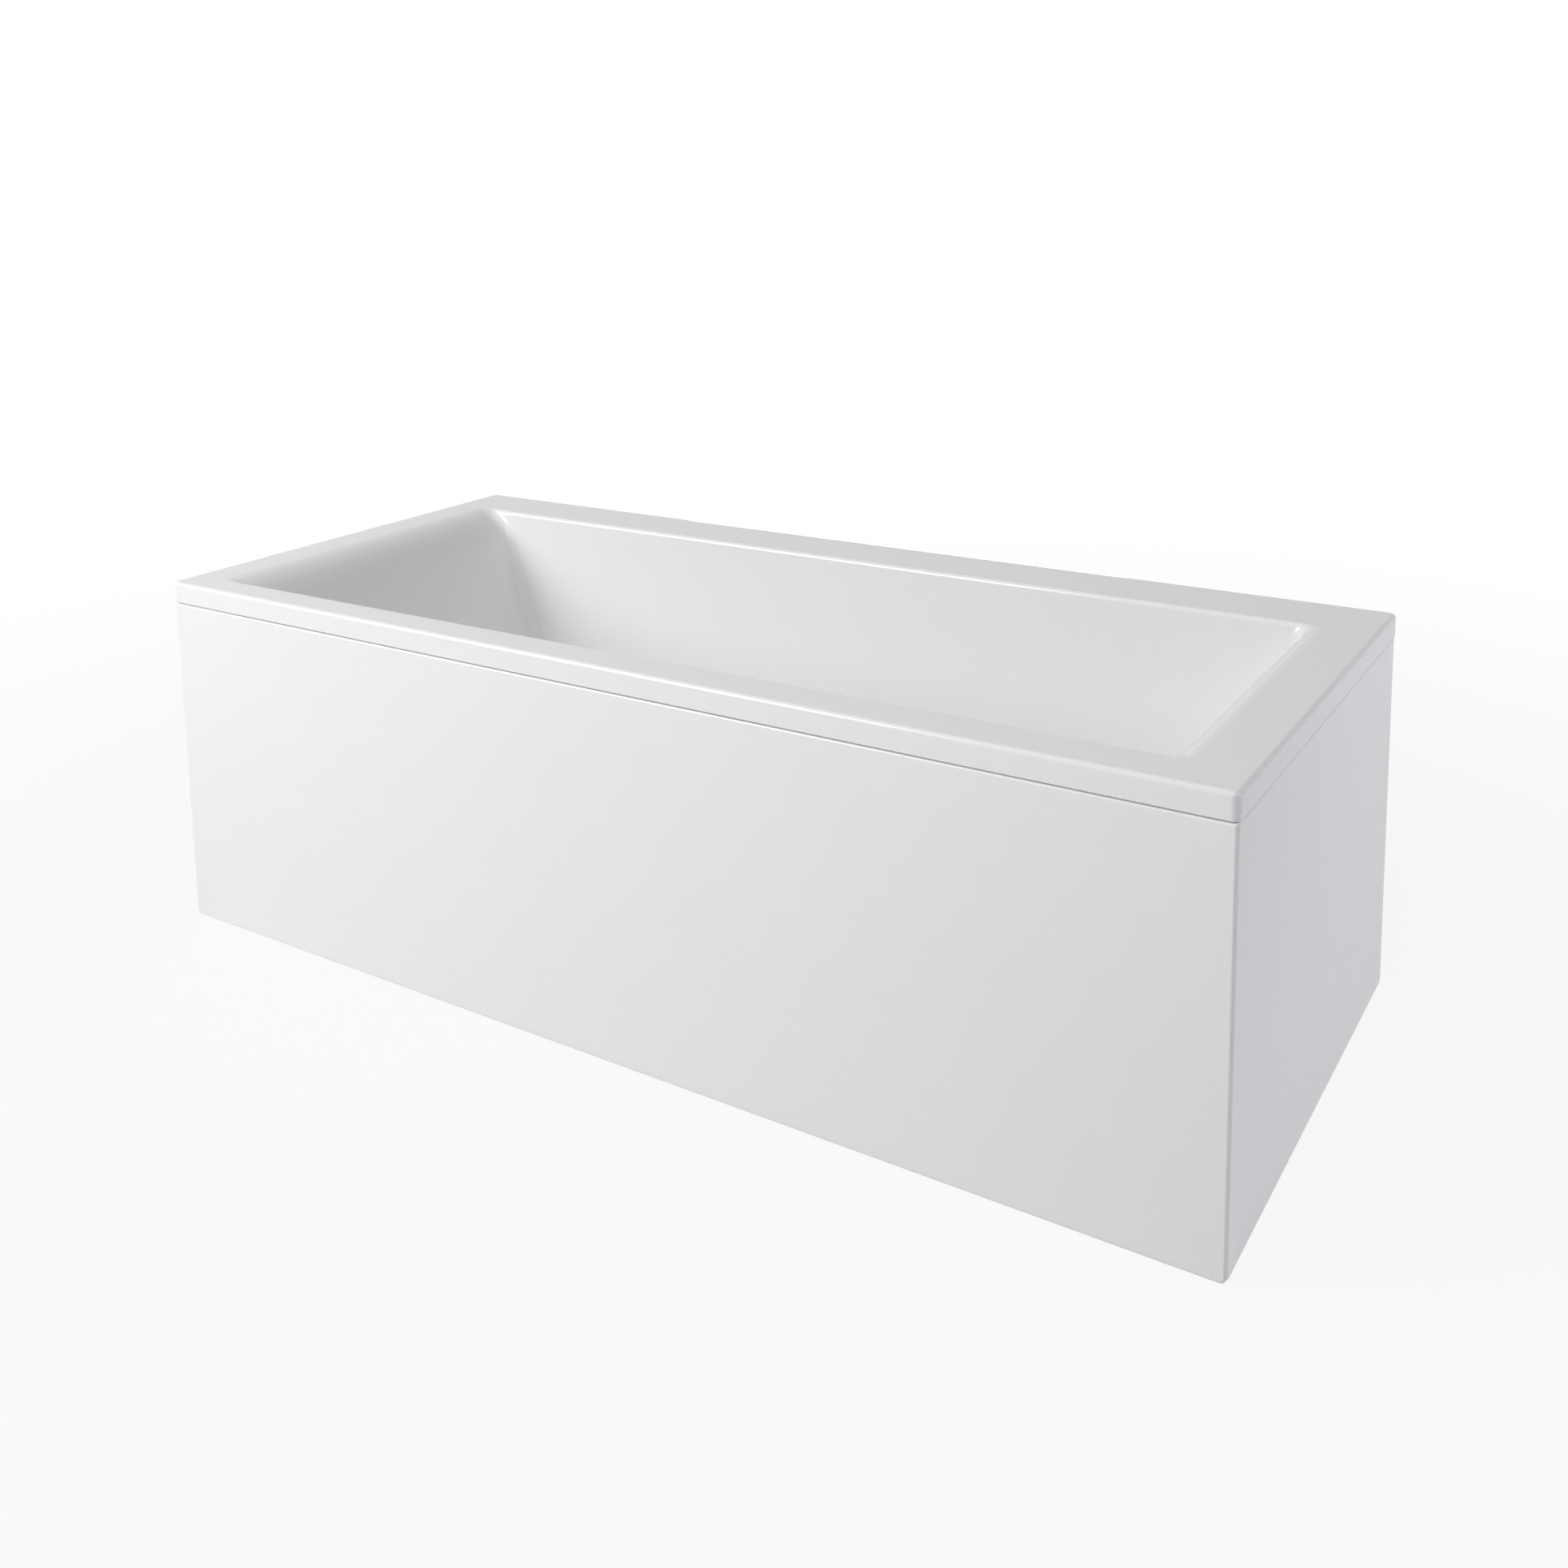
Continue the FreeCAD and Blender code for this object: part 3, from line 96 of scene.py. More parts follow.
class BathSizes(bpy.types.PropertyGroup):
    """The moulded shell's sizes."""
    wall: length_prop("Wall", "Thickness of the acrylic with its backing", 5 * MM)
    lip_height: length_prop("Lip height", "Height of the down-turned lip", 32 * MM)
    lip_corner: length_prop("Lip corner", "Plan radius of the lip's corners", 10 * MM)
    lip_edge: length_prop("Lip edge", "Radius between the lip and the deck", 6 * MM)
    basin_depth: length_prop("Basin depth", "Depth of the basin at the waste", 400 * MM)
    head_ledge: length_prop("Head ledge", "Deck width at the head end", 54 * MM)
    foot_ledge: length_prop("Foot ledge", "Deck width at the foot end", 68 * MM)
    front_ledge_head: length_prop("Front ledge, head", "Front deck width at its head end", 46 * MM)
    front_ledge_foot: length_prop("Front ledge, foot", "Front deck width at its foot end", 61 * MM)
    back_ledge_head: length_prop("Back ledge, head", "Back deck width at its head end", 97 * MM)
    back_ledge_foot: length_prop("Back ledge, foot", "Back deck width at its foot end", 109 * MM)
    head_roll: length_prop("Head roll", "Radius of the roll-over at the head end", 80 * MM)
    foot_roll: length_prop("Foot roll", "Radius of the roll-over at the foot end", 25 * MM)
    foot_slide: length_prop("Foot slide", "How far the foot end's roll-over reaches in", 31 * MM)
    foot_drop: length_prop("Foot drop", "How deep the foot end's roll-over goes", 20 * MM)
    side_roll: length_prop("Side roll", "Radius of the roll-over at the two long sides", 8 * MM)
    head_lean: angle_prop("Backrest lean", "Lean of the backrest from upright", 23)
    foot_lean: angle_prop("Foot lean", "Lean of the foot wall from upright", 8)
    side_lean: angle_prop("Side lean", "Lean of the long walls from upright", 4.5)
    head_heel: length_prop("Head heel", "Radius between backrest and floor", 110 * MM)
    foot_heel: length_prop("Foot heel", "Radius between foot wall and floor", 60 * MM)
    side_heel: length_prop("Side heel", "Radius between long walls and floor", 60 * MM)
    corner: length_prop("Corner", "Plan radius of the basin's corners at the rim", 20 * MM)
    floor_corner: length_prop("Floor corner", "Plan radius of the basin's corners at the floor", 70 * MM)
    floor_fall: FloatProperty(name="Floor fall", default=0.006,
                              description="Fall of the floor towards the waste, per metre")
    outlet_hole: length_prop("Outlet hole", "Radius of the waste's hole and of the overflow's", 26 * MM)
    recess_radius: length_prop("Recess radius", "Radius of the recess that the waste sits in", 40 * MM)
    recess_depth: length_prop("Recess depth", "Depth of the recess that the waste sits in", 3 * MM)
    boss_radius: length_prop("Boss radius", "Radius of the thicker ground round the recess", 45 * MM)


class BathColours(bpy.types.PropertyGroup):
    """The finishes' colours."""
    acrylic: colour_prop("Acrylic", "Gloss sheet of the shell and the panels", "#f1f1f1")
    backing: colour_prop("Backing", "Sprayed glass-fibre backing under the shell", "#d9d8cd")
    softwood: colour_prop("Softwood", "Planed battens under the rim", "#c9a878")
    chipboard: colour_prop("Chipboard", "Raw base board", "#b89a6c")
    galvanised: colour_prop("Galvanised steel", "Folded sheet supports", "#b4b8ba")
    bright_zinc: colour_prop("Zinc plate", "Studs, nuts and screws", "#c3c4c0")
    chrome: colour_prop("Chrome", "Waste, plug and knob", "#dfe1e3")
    brass: colour_prop("Brass", "Spindle and lift pin", "#c9a65a")
    polypropylene: colour_prop("Polypropylene", "Waste, overflow and trap bodies", "#e6e7e6")
    hose: colour_prop("Hose", "Ribbed overflow hose", "#8d9294")
    cable: colour_prop("Cable", "Sheath of the control cable", "#e9e8e2")
    nylon: colour_prop("Nylon", "Levelling pads", "#1c1c1e")
    rubber: colour_prop("Rubber", "Gaskets and the plug's seal", "#161616")
    floor: colour_prop("Floor", "Studio floor", "#c8c8c8")


# ---------------------------------------------------------------- materials

NOISE_LOW, NOISE_HIGH = 0.3, 0.7  # noise seldom leaves this range
WAVE_PERIOD = math.pi / 10  # one band of the Wave texture at a scale of 1


def add_node(tree, kind, settings=None, inputs=None):
    """Add a node, set its properties, and fill or link its inputs."""
    node = tree.nodes.new("ShaderNode" + kind)
    for name, value in (settings or {}).items():
        setattr(node, name, value)
    for name, value in (inputs or {}).items():
        if isinstance(value, bpy.types.NodeSocket):
            tree.links.new(value, node.inputs[name])
        else:
            node.inputs[name].default_value = value
    return node


def start_material(name, **inputs):
    """A material with a Principled surface, and the Object coordinates its patterns read."""
    material = bpy.data.materials.new(name)
    material.use_nodes = True
    tree = material.node_tree
    tree.nodes.clear()
    settings = {key.replace("_", " "): value for key, value in inputs.items()}
    surface = add_node(tree, "BsdfPrincipled", inputs=settings)
    add_node(tree, "OutputMaterial", inputs={"Surface": surface.outputs[0]})
    place = add_node(tree, "TexCoord").outputs["Object"]
    return material, tree, surface, place


def noise(tree, place, size, detail=2.0, roughness=0.5, stretch=None):
    """Noise whose grains are about one size wide, drawn out along an axis if asked."""
    if stretch:
        place = add_node(tree, "Mapping", inputs={"Vector": place, "Scale": stretch}).outputs[0]
    return add_node(tree, "TexNoise", inputs={
        "Vector": place, "Scale": 1 / size, "Detail": detail, "Roughness": roughness}).outputs["Fac"]


def between(tree, factor, low, high):
    """A number that moves from low to high with a pattern."""
    return add_node(tree, "MapRange", inputs={
        "Value": factor, "From Min": NOISE_LOW, "From Max": NOISE_HIGH,
        "To Min": low, "To Max": high}).outputs[0]


def tinted(tree, factor, dark, light):
    """A colour that moves between two with a pattern."""
    return add_node(tree, "Mix", {"data_type": "RGBA"}, {0: factor, 6: dark, 7: light}).outputs[2]


def bumped(tree, surface, height, depth, strength=1.0):
    """Give a surface relief of a real depth."""
    bump = add_node(tree, "Bump", inputs={"Height": height, "Distance": depth, "Strength": strength})
    tree.links.new(bump.outputs[0], surface.inputs["Normal"])


def shade(colour, share):
    """A linear colour made darker or lighter, with its alpha."""
    return [min(1.0, channel * share) for channel in colour] + [1.0]


def colours():
    return bpy.context.scene.bath_colours


def acrylic_material():
    """Vacuum-formed cast acrylic: deep gloss, with the slow waviness that a heated sheet keeps."""
    material, tree, surface, place = start_material("vacuum_formed_acrylic", IOR=1.49)
    cloud = noise(tree, place, 180 * MM)
    colour = tinted(tree, cloud, shade(colours().acrylic, 0.985), shade(colours().acrylic, 1.0))
    tree.links.new(colour, surface.inputs["Base Color"])
    haze = between(tree, noise(tree, place, 40 * MM), 0.10, 0.15)
    tree.links.new(haze, surface.inputs["Roughness"])
    bumped(tree, surface, noise(tree, place, 90 * MM, 1.0), 0.25 * MM)
    return material


def backing_material():
    """Sprayed glass-fibre backing: dull, milky resin with chopped strands lying every way."""
    material, tree, surface, place = start_material("sprayed_fibre_backing", Roughness=0.55, IOR=1.55)
    strands = add_node(tree, "TexVoronoi", {"feature": "DISTANCE_TO_EDGE"},
                       {"Vector": place, "Scale": 1 / (9 * MM)}).outputs["Distance"]
    blotch = noise(tree, place, 25 * MM, 4.0, 0.6)
    edge = between(tree, strands, 1.0, 0.0)
    fibre = add_node(tree, "Math", {"operation": "MULTIPLY"}, {0: edge, 1: blotch}).outputs[0]
    colour = tinted(tree, blotch, shade(colours().backing, 0.86), shade(colours().backing, 1.08))
    tree.links.new(colour, surface.inputs["Base Color"])
    bumped(tree, surface, fibre, 0.6 * MM)
    return material


def softwood_material(name, along):
    """Planed pine: straight rings drawn out along the batten, with darker late wood."""
    material, tree, surface, place = start_material(name, Roughness=0.6)
    squeeze = [0.04, 1.0, 1.0] if along == "X" else [1.0, 0.04, 1.0]
    rings = noise(tree, place, 4 * MM, 3.0, 0.55, squeeze)
    broad = noise(tree, place, 45 * MM, 2.0, 0.5, squeeze)
    grain = add_node(tree, "Math", {"operation": "MULTIPLY_ADD"}, {0: rings, 1: 0.7, 2: 0.1}).outputs[0]
    mixed = add_node(tree, "Math", {"operation": "MULTIPLY_ADD"}, {0: broad, 1: 0.35, 2: grain}).outputs[0]
    colour = tinted(tree, between(tree, mixed, 0.0, 1.0), shade(colours().softwood, 0.62),
                    shade(colours().softwood, 1.1))
    tree.links.new(colour, surface.inputs["Base Color"])
    bumped(tree, surface, rings, 0.15 * MM)
    return material


def chipboard_material():
    """Pressed chipboard: pale and dark flakes a few millimetres long, all glued flat."""
    material, tree, surface, place = start_material("pressed_chipboard", Roughness=0.75)
    flakes = add_node(tree, "TexVoronoi", inputs={"Vector": place, "Scale": 1 / (4 * MM)})
    tone = add_node(tree, "SeparateColor", inputs={0: flakes.outputs["Color"]}).outputs[0]
    colour = tinted(tree, tone, shade(colours().chipboard, 0.7), shade(colours().chipboard, 1.2))
    tree.links.new(colour, surface.inputs["Base Color"])
    bumped(tree, surface, flakes.outputs["Distance"], 0.3 * MM)
    return material


def galvanised_material():
    """Hot-dip galvanised sheet: grey metal with spangles about a centimetre across."""
    material, tree, surface, place = start_material("galvanised_sheet", Metallic=1.0)
    spangle = add_node(tree, "TexVoronoi", inputs={"Vector": place, "Scale": 1 / (11 * MM)})
    tone = add_node(tree, "SeparateColor", inputs={0: spangle.outputs["Color"]}).outputs[0]
    colour = tinted(tree, tone, shade(colours().galvanised, 0.8), shade(colours().galvanised, 1.1))
    tree.links.new(colour, surface.inputs["Base Color"])
    tree.links.new(between(tree, tone, 0.34, 0.48), surface.inputs["Roughness"])
    bumped(tree, surface, noise(tree, place, 2 * MM), 0.05 * MM)
    return material


def turned_metal_material(name, colour, roughness, scratch):
    """A plated or turned metal: a hard gloss broken by fine rubbing marks."""
    material, tree, surface, place = start_material(name, Metallic=1.0)
    rub = noise(tree, place, scratch, 5.0, 0.65)
    tree.links.new(tinted(tree, rub, shade(colour, 0.9), shade(colour, 1.04)), surface.inputs["Base Color"])
    tree.links.new(between(tree, rub, roughness * 0.7, roughness * 1.4), surface.inputs["Roughness"])
    bumped(tree, surface, rub, 0.02 * MM)
    return material


def threaded_rod_material():
    """Zinc-plated threaded rod: a 1.5 mm pitch, bumped, whose roots are darkened with painted shade and
    whose crests are a little lighter as a painted highlight.
    """
    material, tree, surface, place = start_material("zinc_plated_thread", Metallic=1.0, Roughness=0.32)
    thread_bump_and_painted_shade = add_node(tree, "TexWave", {"bands_direction": "Z", "wave_profile": "TRI"},
                      {"Vector": place, "Scale": WAVE_PERIOD / (1.5 * MM)}).outputs["Fac"]
    # painted shade and highlight: the plating's colour runs from dark roots to light crests along the
    # thread's bands
    colour = tinted(tree, thread_bump_and_painted_shade, shade(colours().bright_zinc, 0.45), shade(colours().bright_zinc, 1.05))
    tree.links.new(colour, surface.inputs["Base Color"])
    bumped(tree, surface, thread_bump_and_painted_shade, 0.7 * MM)
    return material


def moulded_material(name, colour, roughness, grain):
    """A moulded plastic or rubber: even colour under a fine mould grain, duller where it is handled."""
    material, tree, surface, place = start_material(name, IOR=1.5)
    cloud = noise(tree, place, 30 * MM, 3.0)
    cast = tinted(tree, cloud, shade(colour, 0.93), shade(colour, 1.04))
    tree.links.new(cast, surface.inputs["Base Color"])
    tree.links.new(between(tree, cloud, roughness * 0.9, roughness * 1.1), surface.inputs["Roughness"])
    bumped(tree, surface, noise(tree, place, grain), 0.04 * MM)
    return material


finishes = {}  # finish name: material, filled by make_finishes


def make_finishes():
    """One material for each of the record's slots, and three more: backing, short battens, threads."""
    pick = colours()
    finishes.update({
        "acrylic": acrylic_material(),
        "backing": backing_material(),
        "batten_wood": softwood_material("planed_pine_long", "X"),
        "batten_wood_short": softwood_material("planed_pine_short", "Y"),
        "board_wood": chipboard_material(),
        "zinc_steel": galvanised_material(),
        "bright_steel": turned_metal_material("zinc_plated_steel", pick.bright_zinc, 0.3, 1.5 * MM),
        "thread": threaded_rod_material(),
        "chrome": turned_metal_material("polished_chrome", pick.chrome, 0.06, 6 * MM),
        "brass": turned_metal_material("turned_brass", pick.brass, 0.25, 1.0 * MM),
        "waste_plastic": moulded_material("moulded_polypropylene", pick.polypropylene, 0.38, 0.8 * MM),
        "hose_plastic": moulded_material("ribbed_hose_polypropylene", pick.hose, 0.42, 0.8 * MM),
        "cable_plastic": moulded_material("extruded_cable_sheath", pick.cable, 0.3, 0.6 * MM),
        "foot_plastic": moulded_material("moulded_nylon", pick.nylon, 0.5, 0.5 * MM),
        "seal_rubber": moulded_material("moulded_rubber", pick.rubber, 0.7, 0.4 * MM),
    })


def dress(nodes, finish):
    """Give CAD nodes a finish, in place of the frame's plain one."""
    for name in nodes:
        slots = frame["nodes"][name].data.materials
        slots.clear()
        slots.append(finishes[finish])


def in_slot(slot):
    """The CAD nodes that the record gives a material slot."""
    return [node for node, used in SLOTS.items() if used == slot]


# ---------------------------------------------------------------- modelling helpers

def only(item):
    """Select one object, and nothing else."""
    bpy.ops.object.select_all(action="DESELECT")
    item.select_set(True)
    bpy.context.view_layer.objects.active = item


def apply_modifier(item, kind, **settings):
    """Add a modifier, set it and apply it."""
    only(item)
    bpy.ops.object.modifier_add(type=kind)
    modifier = item.modifiers[-1]
    for name, value in settings.items():
        setattr(modifier, name, value)
    bpy.ops.object.modifier_apply(modifier=modifier.name)


def cylinder(radius, start, end, vertices=96):
    """A round bar between two points, its place in its mesh."""
    run = end - start
    bpy.ops.object.select_all(action="DESELECT")
    bpy.ops.mesh.primitive_cylinder_add(vertices=vertices, radius=radius, depth=run.length,
                                        location=(start + end) / 2,
                                        rotation=run.to_track_quat("Z", "Y").to_euler())
    bpy.ops.object.transform_apply(location=True, rotation=True, scale=True)
    return bpy.context.object


def combine(item, tool, operation):
    """Join a tool to a piece or cut it away, and put the tool aside."""
    apply_modifier(item, "BOOLEAN", object=tool, operation=operation, solver="EXACT")
    bpy.data.objects.remove(tool)


def finish_piece(item, name, body, replaced):
    """Name a piece, ride it on its body and let it stand for CAD nodes."""
    item.name = item.data.name = name
    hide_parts(*replaced)
    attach(item, body)


# ---------------------------------------------------------------- moulded shell

def setback(depth, roll, lean, heel, full):
    """How far in from the rim a wall has come at a depth: roll-over, leaning wall, heel."""
    roll_depth = roll * (1 - math.sin(lean))
    if depth < roll_depth:
        return math.sqrt(2 * roll * depth - depth ** 2)
    heel_depth = full - heel * (1 - math.sin(lean))
    on_wall = min(depth, heel_depth)
    reach = roll * math.cos(lean) + (on_wall - roll_depth) * math.tan(lean)
    if depth > heel_depth:
        below = min(depth - (full - heel), heel)
        reach += heel * math.cos(lean) - math.sqrt(heel ** 2 - below ** 2)
    return reach


def foot_setback(sizes, depth):
    """The foot wall's setback: a wide, shallow roll-over that hands over to the plain wall below it."""
    wall = setback(depth, sizes.foot_roll, sizes.foot_lean, sizes.foot_heel, sizes.basin_depth)
    left = max(0.0, 1 - depth / sizes.foot_drop)
    return max(wall, sizes.foot_slide * math.sqrt(1 - left ** 2))


RUN_POINTS = (16, 8, 16, 8)  # spaces along each straight run: front, foot, back, head


def rounded_ring(corners, radius, steps):
    """Points round a four-sided outline with round corners, the same count on every corner and run."""
    ring = []
    for index, corner in enumerate(corners):
        back = (corners[index - 1] - corner).normalized()
        ahead = (corners[(index + 1) % 4] - corner).normalized()
        half = back.angle(ahead) / 2
        centre = corner + (back + ahead).normalized() * (radius / math.sin(half))
        start = corner + back * (radius / math.tan(half)) - centre
        end = corner + ahead * (radius / math.tan(half)) - centre
        sweep = start.angle(end)
        for step in range(steps + 1):
            share = step / steps
            first = math.sin((1 - share) * sweep) / math.sin(sweep)
            last = math.sin(share * sweep) / math.sin(sweep)
            ring.append(centre + start * first + end * last)
    turns = [ring[place:place + steps + 1] for place in range(0, len(ring), steps + 1)]
    full = []
    for turn, following, count in zip(turns, turns[1:] + turns[:1], RUN_POINTS):
        full += turn
        full += [turn[-1].lerp(following[0], share / count) for share in range(1, count)]
    return full


def lip_ring(sizes, inset, z, steps):
    """The rim's outside outline at a height, a distance in from the lip's face."""
    low_x, high_x = HEAD_X + inset, FOOT_X - inset
    low_y, high_y = FRONT_Y + inset, BACK_Y - inset
    places = ((low_x, low_y), (high_x, low_y), (high_x, high_y), (low_x, high_y))
    corners = [Vector((x, y, z)) for x, y in places]
    return rounded_ring(corners, sizes.lip_corner - inset, steps)


def basin_ring(sizes, depth, steps):
    """The basin's outline at a depth: four walls joined by round corners."""
    full = sizes.basin_depth
    rim_head = HEAD_X + sizes.head_ledge
    rim_foot = FOOT_X - sizes.foot_ledge
    head_x = rim_head + setback(depth, sizes.head_roll, sizes.head_lean, sizes.head_heel, full)
    foot_x = rim_foot - foot_setback(sizes, depth)
    side = setback(depth, sizes.side_roll, sizes.side_lean, sizes.side_heel, full)
    share = max(0.0, 2 * depth / full - 1)
    radius = sizes.corner + (sizes.floor_corner - sizes.corner) * share ** 2
    ledges = {"front": (sizes.front_ledge_head, sizes.front_ledge_foot),
              "back": (sizes.back_ledge_head, sizes.back_ledge_foot)}
    corners = []
    for x, name in ((head_x, "front"), (foot_x, "front"), (foot_x, "back"), (head_x, "back")):
        at_head, at_foot = ledges[name]
        ledge = at_head + (at_foot - at_head) * (x - rim_head) / (rim_foot - rim_head)
        y = FRONT_Y + ledge + side if name == "front" else BACK_Y - ledge - side
        z = RIM_Z - depth + sizes.floor_fall * share * (WASTE.x - x)
        corners.append(Vector((x, y, z)))
    return rounded_ring(corners, radius, steps)


WALL_SHARES = (0.2, 0.3, 0.4, 0.5, 0.6, 0.7)
ROLL_TURNS = range(6, 91, 6)  # degrees round a roll-over
HEEL_TURNS = range(4, 88, 7)  # degrees round a heel
LAST_GAP = 0.2 * MM


def ring_gap(depth):
    """The least space between two rings: small on the flat start of a roll-over, larger further down."""
    if depth < 4 * MM:
        return 0.6 * MM
    return 1.0 * MM if depth < 24 * MM else 2.0 * MM


def basin_depths(sizes):
    """Depths of the rings: every few degrees of each roll-over and heel, wide on the walls."""
    full = sizes.basin_depth
    depths = [full * share for share in WALL_SHARES]
    for roll in (sizes.side_roll, sizes.foot_drop, sizes.head_roll):
        depths += [roll * (1 - math.cos(math.radians(step))) for step in ROLL_TURNS]
    for heel in (sizes.side_heel, sizes.head_heel):
        depths += [full - heel * (1 - math.sin(math.radians(step))) for step in HEEL_TURNS]
    kept = [0.0]
    for depth in sorted(depths):
        if depth - kept[-1] > ring_gap(depth) and full - depth > LAST_GAP:
            kept.append(depth)
    return kept + [full]


CORNER_STEPS = 12
EDGE_STEPS = 6
MERGE_GAP = 0.01 * MM
SMOOTH_ANGLE = math.radians(32)
NORMAL_WEIGHT = 70
BOSS_OVERLAP = 1.5 * MM  # how far the boss's top lies above the floor of the recess
RECESS_CUT = 40 * MM
HOLE_CUT = 30 * MM
BEHIND_WALL = 20 * MM


class BATH_OT_shell(bpy.types.Operator):
    """Mould the shell: lip, deck and basin as one sheet, given its thickness and its holes"""
    bl_idname = "bath.shell"
    bl_label = "Moulded shell"

    def execute(self, context):
        sizes = context.scene.bath_sizes
        rings = self.outline(sizes)
        shell = self.stretch_grid(rings)
        self.close_floor(shell, rings[-1])
        shell.data.materials.append(finishes["acrylic"])
        shell.data.materials.append(finishes["backing"])
        apply_modifier(shell, "SOLIDIFY", thickness=sizes.wall, offset=-1, use_even_offset=True,
                       use_quality_normals=True, material_offset=1)
        self.cut_outlets(shell, sizes)
        only(shell)
        bpy.ops.object.shade_smooth_by_angle(angle=SMOOTH_ANGLE)
        apply_modifier(shell, "WEIGHTED_NORMAL", keep_sharp=True, weight=NORMAL_WEIGHT)
        finish_piece(shell, "moulded_shell", "bath", ["tub_shell"])
        return {"FINISHED"}

    @staticmethod
    def outline(sizes):
        """Rings from the lip's lower edge, over the deck and down to the basin's floor."""
        rings = [lip_ring(sizes, 0, RIM_Z - sizes.lip_height, CORNER_STEPS)]
        for step in range(EDGE_STEPS + 1):
            turn = math.pi / 2 * step / EDGE_STEPS
            inset = sizes.lip_edge * (1 - math.cos(turn))
            z = RIM_Z - sizes.lip_edge * (1 - math.sin(turn))
            rings.append(lip_ring(sizes, inset, z, CORNER_STEPS))
        return rings + [basin_ring(sizes, depth, CORNER_STEPS) for depth in basin_depths(sizes)]

    @staticmethod
    def stretch_grid(rings):
        """Lay a grid's rows on the rings, and weld its seam."""
        around = len(rings[0])
        bpy.ops.object.select_all(action="DESELECT")
        bpy.ops.mesh.primitive_grid_add(x_subdivisions=around, y_subdivisions=len(rings) - 1, size=1)
        shell = bpy.context.object
        for index, vertex in enumerate(shell.data.vertices):
            row, column = divmod(index, around + 1)
            vertex.co = rings[row][column % around]
        bpy.ops.object.mode_set(mode="EDIT")
        bpy.ops.mesh.select_all(action="SELECT")
        bpy.ops.mesh.remove_doubles(threshold=MERGE_GAP)
        bpy.ops.mesh.select_all(action="DESELECT")
        bpy.ops.object.mode_set(mode="OBJECT")
        return shell

    @staticmethod
    def close_floor(shell, last_ring):
        """Fill the last ring with the basin's floor, which faces up."""
        for vertex in shell.data.vertices:
            vertex.select = min((vertex.co - point).length for point in last_ring) < 2 * MERGE_GAP
        bpy.ops.object.mode_set(mode="EDIT")
        bpy.ops.mesh.edge_face_add()
        bpy.ops.object.mode_set(mode="OBJECT")
        if shell.data.polygons[-1].normal.z < 0:
            shell.data.flip_normals()

    @staticmethod
    def cut_outlets(shell, sizes):
        """Sink the waste's recess into a boss under the floor, and open both outlet holes."""
        _, flange_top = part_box("waste_flange")
        _, gasket_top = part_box("waste_gasket")
        up = Vector((0, 0, 1))
        seat = Vector((WASTE.x, WASTE.y, flange_top.z - sizes.recess_depth))
        boss_foot = Vector((WASTE.x, WASTE.y, gasket_top.z))
        combine(shell, cylinder(sizes.boss_radius, boss_foot, seat + up * BOSS_OVERLAP), "UNION")
        combine(shell, cylinder(sizes.recess_radius, seat, seat + up * RECESS_CUT), "DIFFERENCE")
        below, above = seat - up * HOLE_CUT, seat + up * HOLE_CUT
        combine(shell, cylinder(sizes.outlet_hole, below, above), "DIFFERENCE")
        inward = Vector((-math.cos(sizes.foot_lean), 0, math.sin(sizes.foot_lean)))
        gasket = middle("overflow_gasket")
        behind, inside = gasket - inward * BEHIND_WALL, gasket + inward * HOLE_CUT
        combine(shell, cylinder(sizes.outlet_hole, behind, inside), "DIFFERENCE")


# ---------------------------------------------------------------- carried-over nodes

class BATH_OT_panels(bpy.types.Operator):
    """Finish the front and end panels in gloss acrylic"""
    bl_idname = "bath.panels"
    bl_label = "Panels"

    def execute(self, context):
        dress(["front_panel", "end_panel"], "acrylic")
        return {"FINISHED"}


class BATH_OT_timber(bpy.types.Operator):
    """Finish the base board and the battens under the rim"""
    bl_idname = "bath.timber"
    bl_label = "Board and battens"

    def execute(self, context):
        dress(["rim_batten_front", "rim_batten_back"], "batten_wood")
        dress(["rim_batten_head", "rim_batten_foot"], "batten_wood_short")
        dress(["base_board"], "board_wood")
        return {"FINISHED"}


class BATH_OT_steelwork(bpy.types.Operator):
    """Finish the cradles, brackets, stays, hooks, nuts and screws"""
    bl_idname = "bath.steelwork"
    bl_label = "Steelwork"

    def execute(self, context):
        dress(in_slot("zinc_steel"), "zinc_steel")
        dress(in_slot("bright_steel"), "bright_steel")
        dress([node for node in SLOTS if node.startswith("levelling_stud")], "thread")
        dress(in_slot("foot_plastic"), "foot_plastic")
        return {"FINISHED"}


class BATH_OT_outlets(bpy.types.Operator):
    """Finish the waste, the overflow, the hose, the cable and the trap"""
    bl_idname = "bath.outlets"
    bl_label = "Waste, overflow and trap"

    def execute(self, context):
        for slot in ("chrome", "brass", "seal_rubber", "waste_plastic", "hose_plastic", "cable_plastic"):
            dress(in_slot(slot), slot)
        return {"FINISHED"}


# ---------------------------------------------------------------- stage

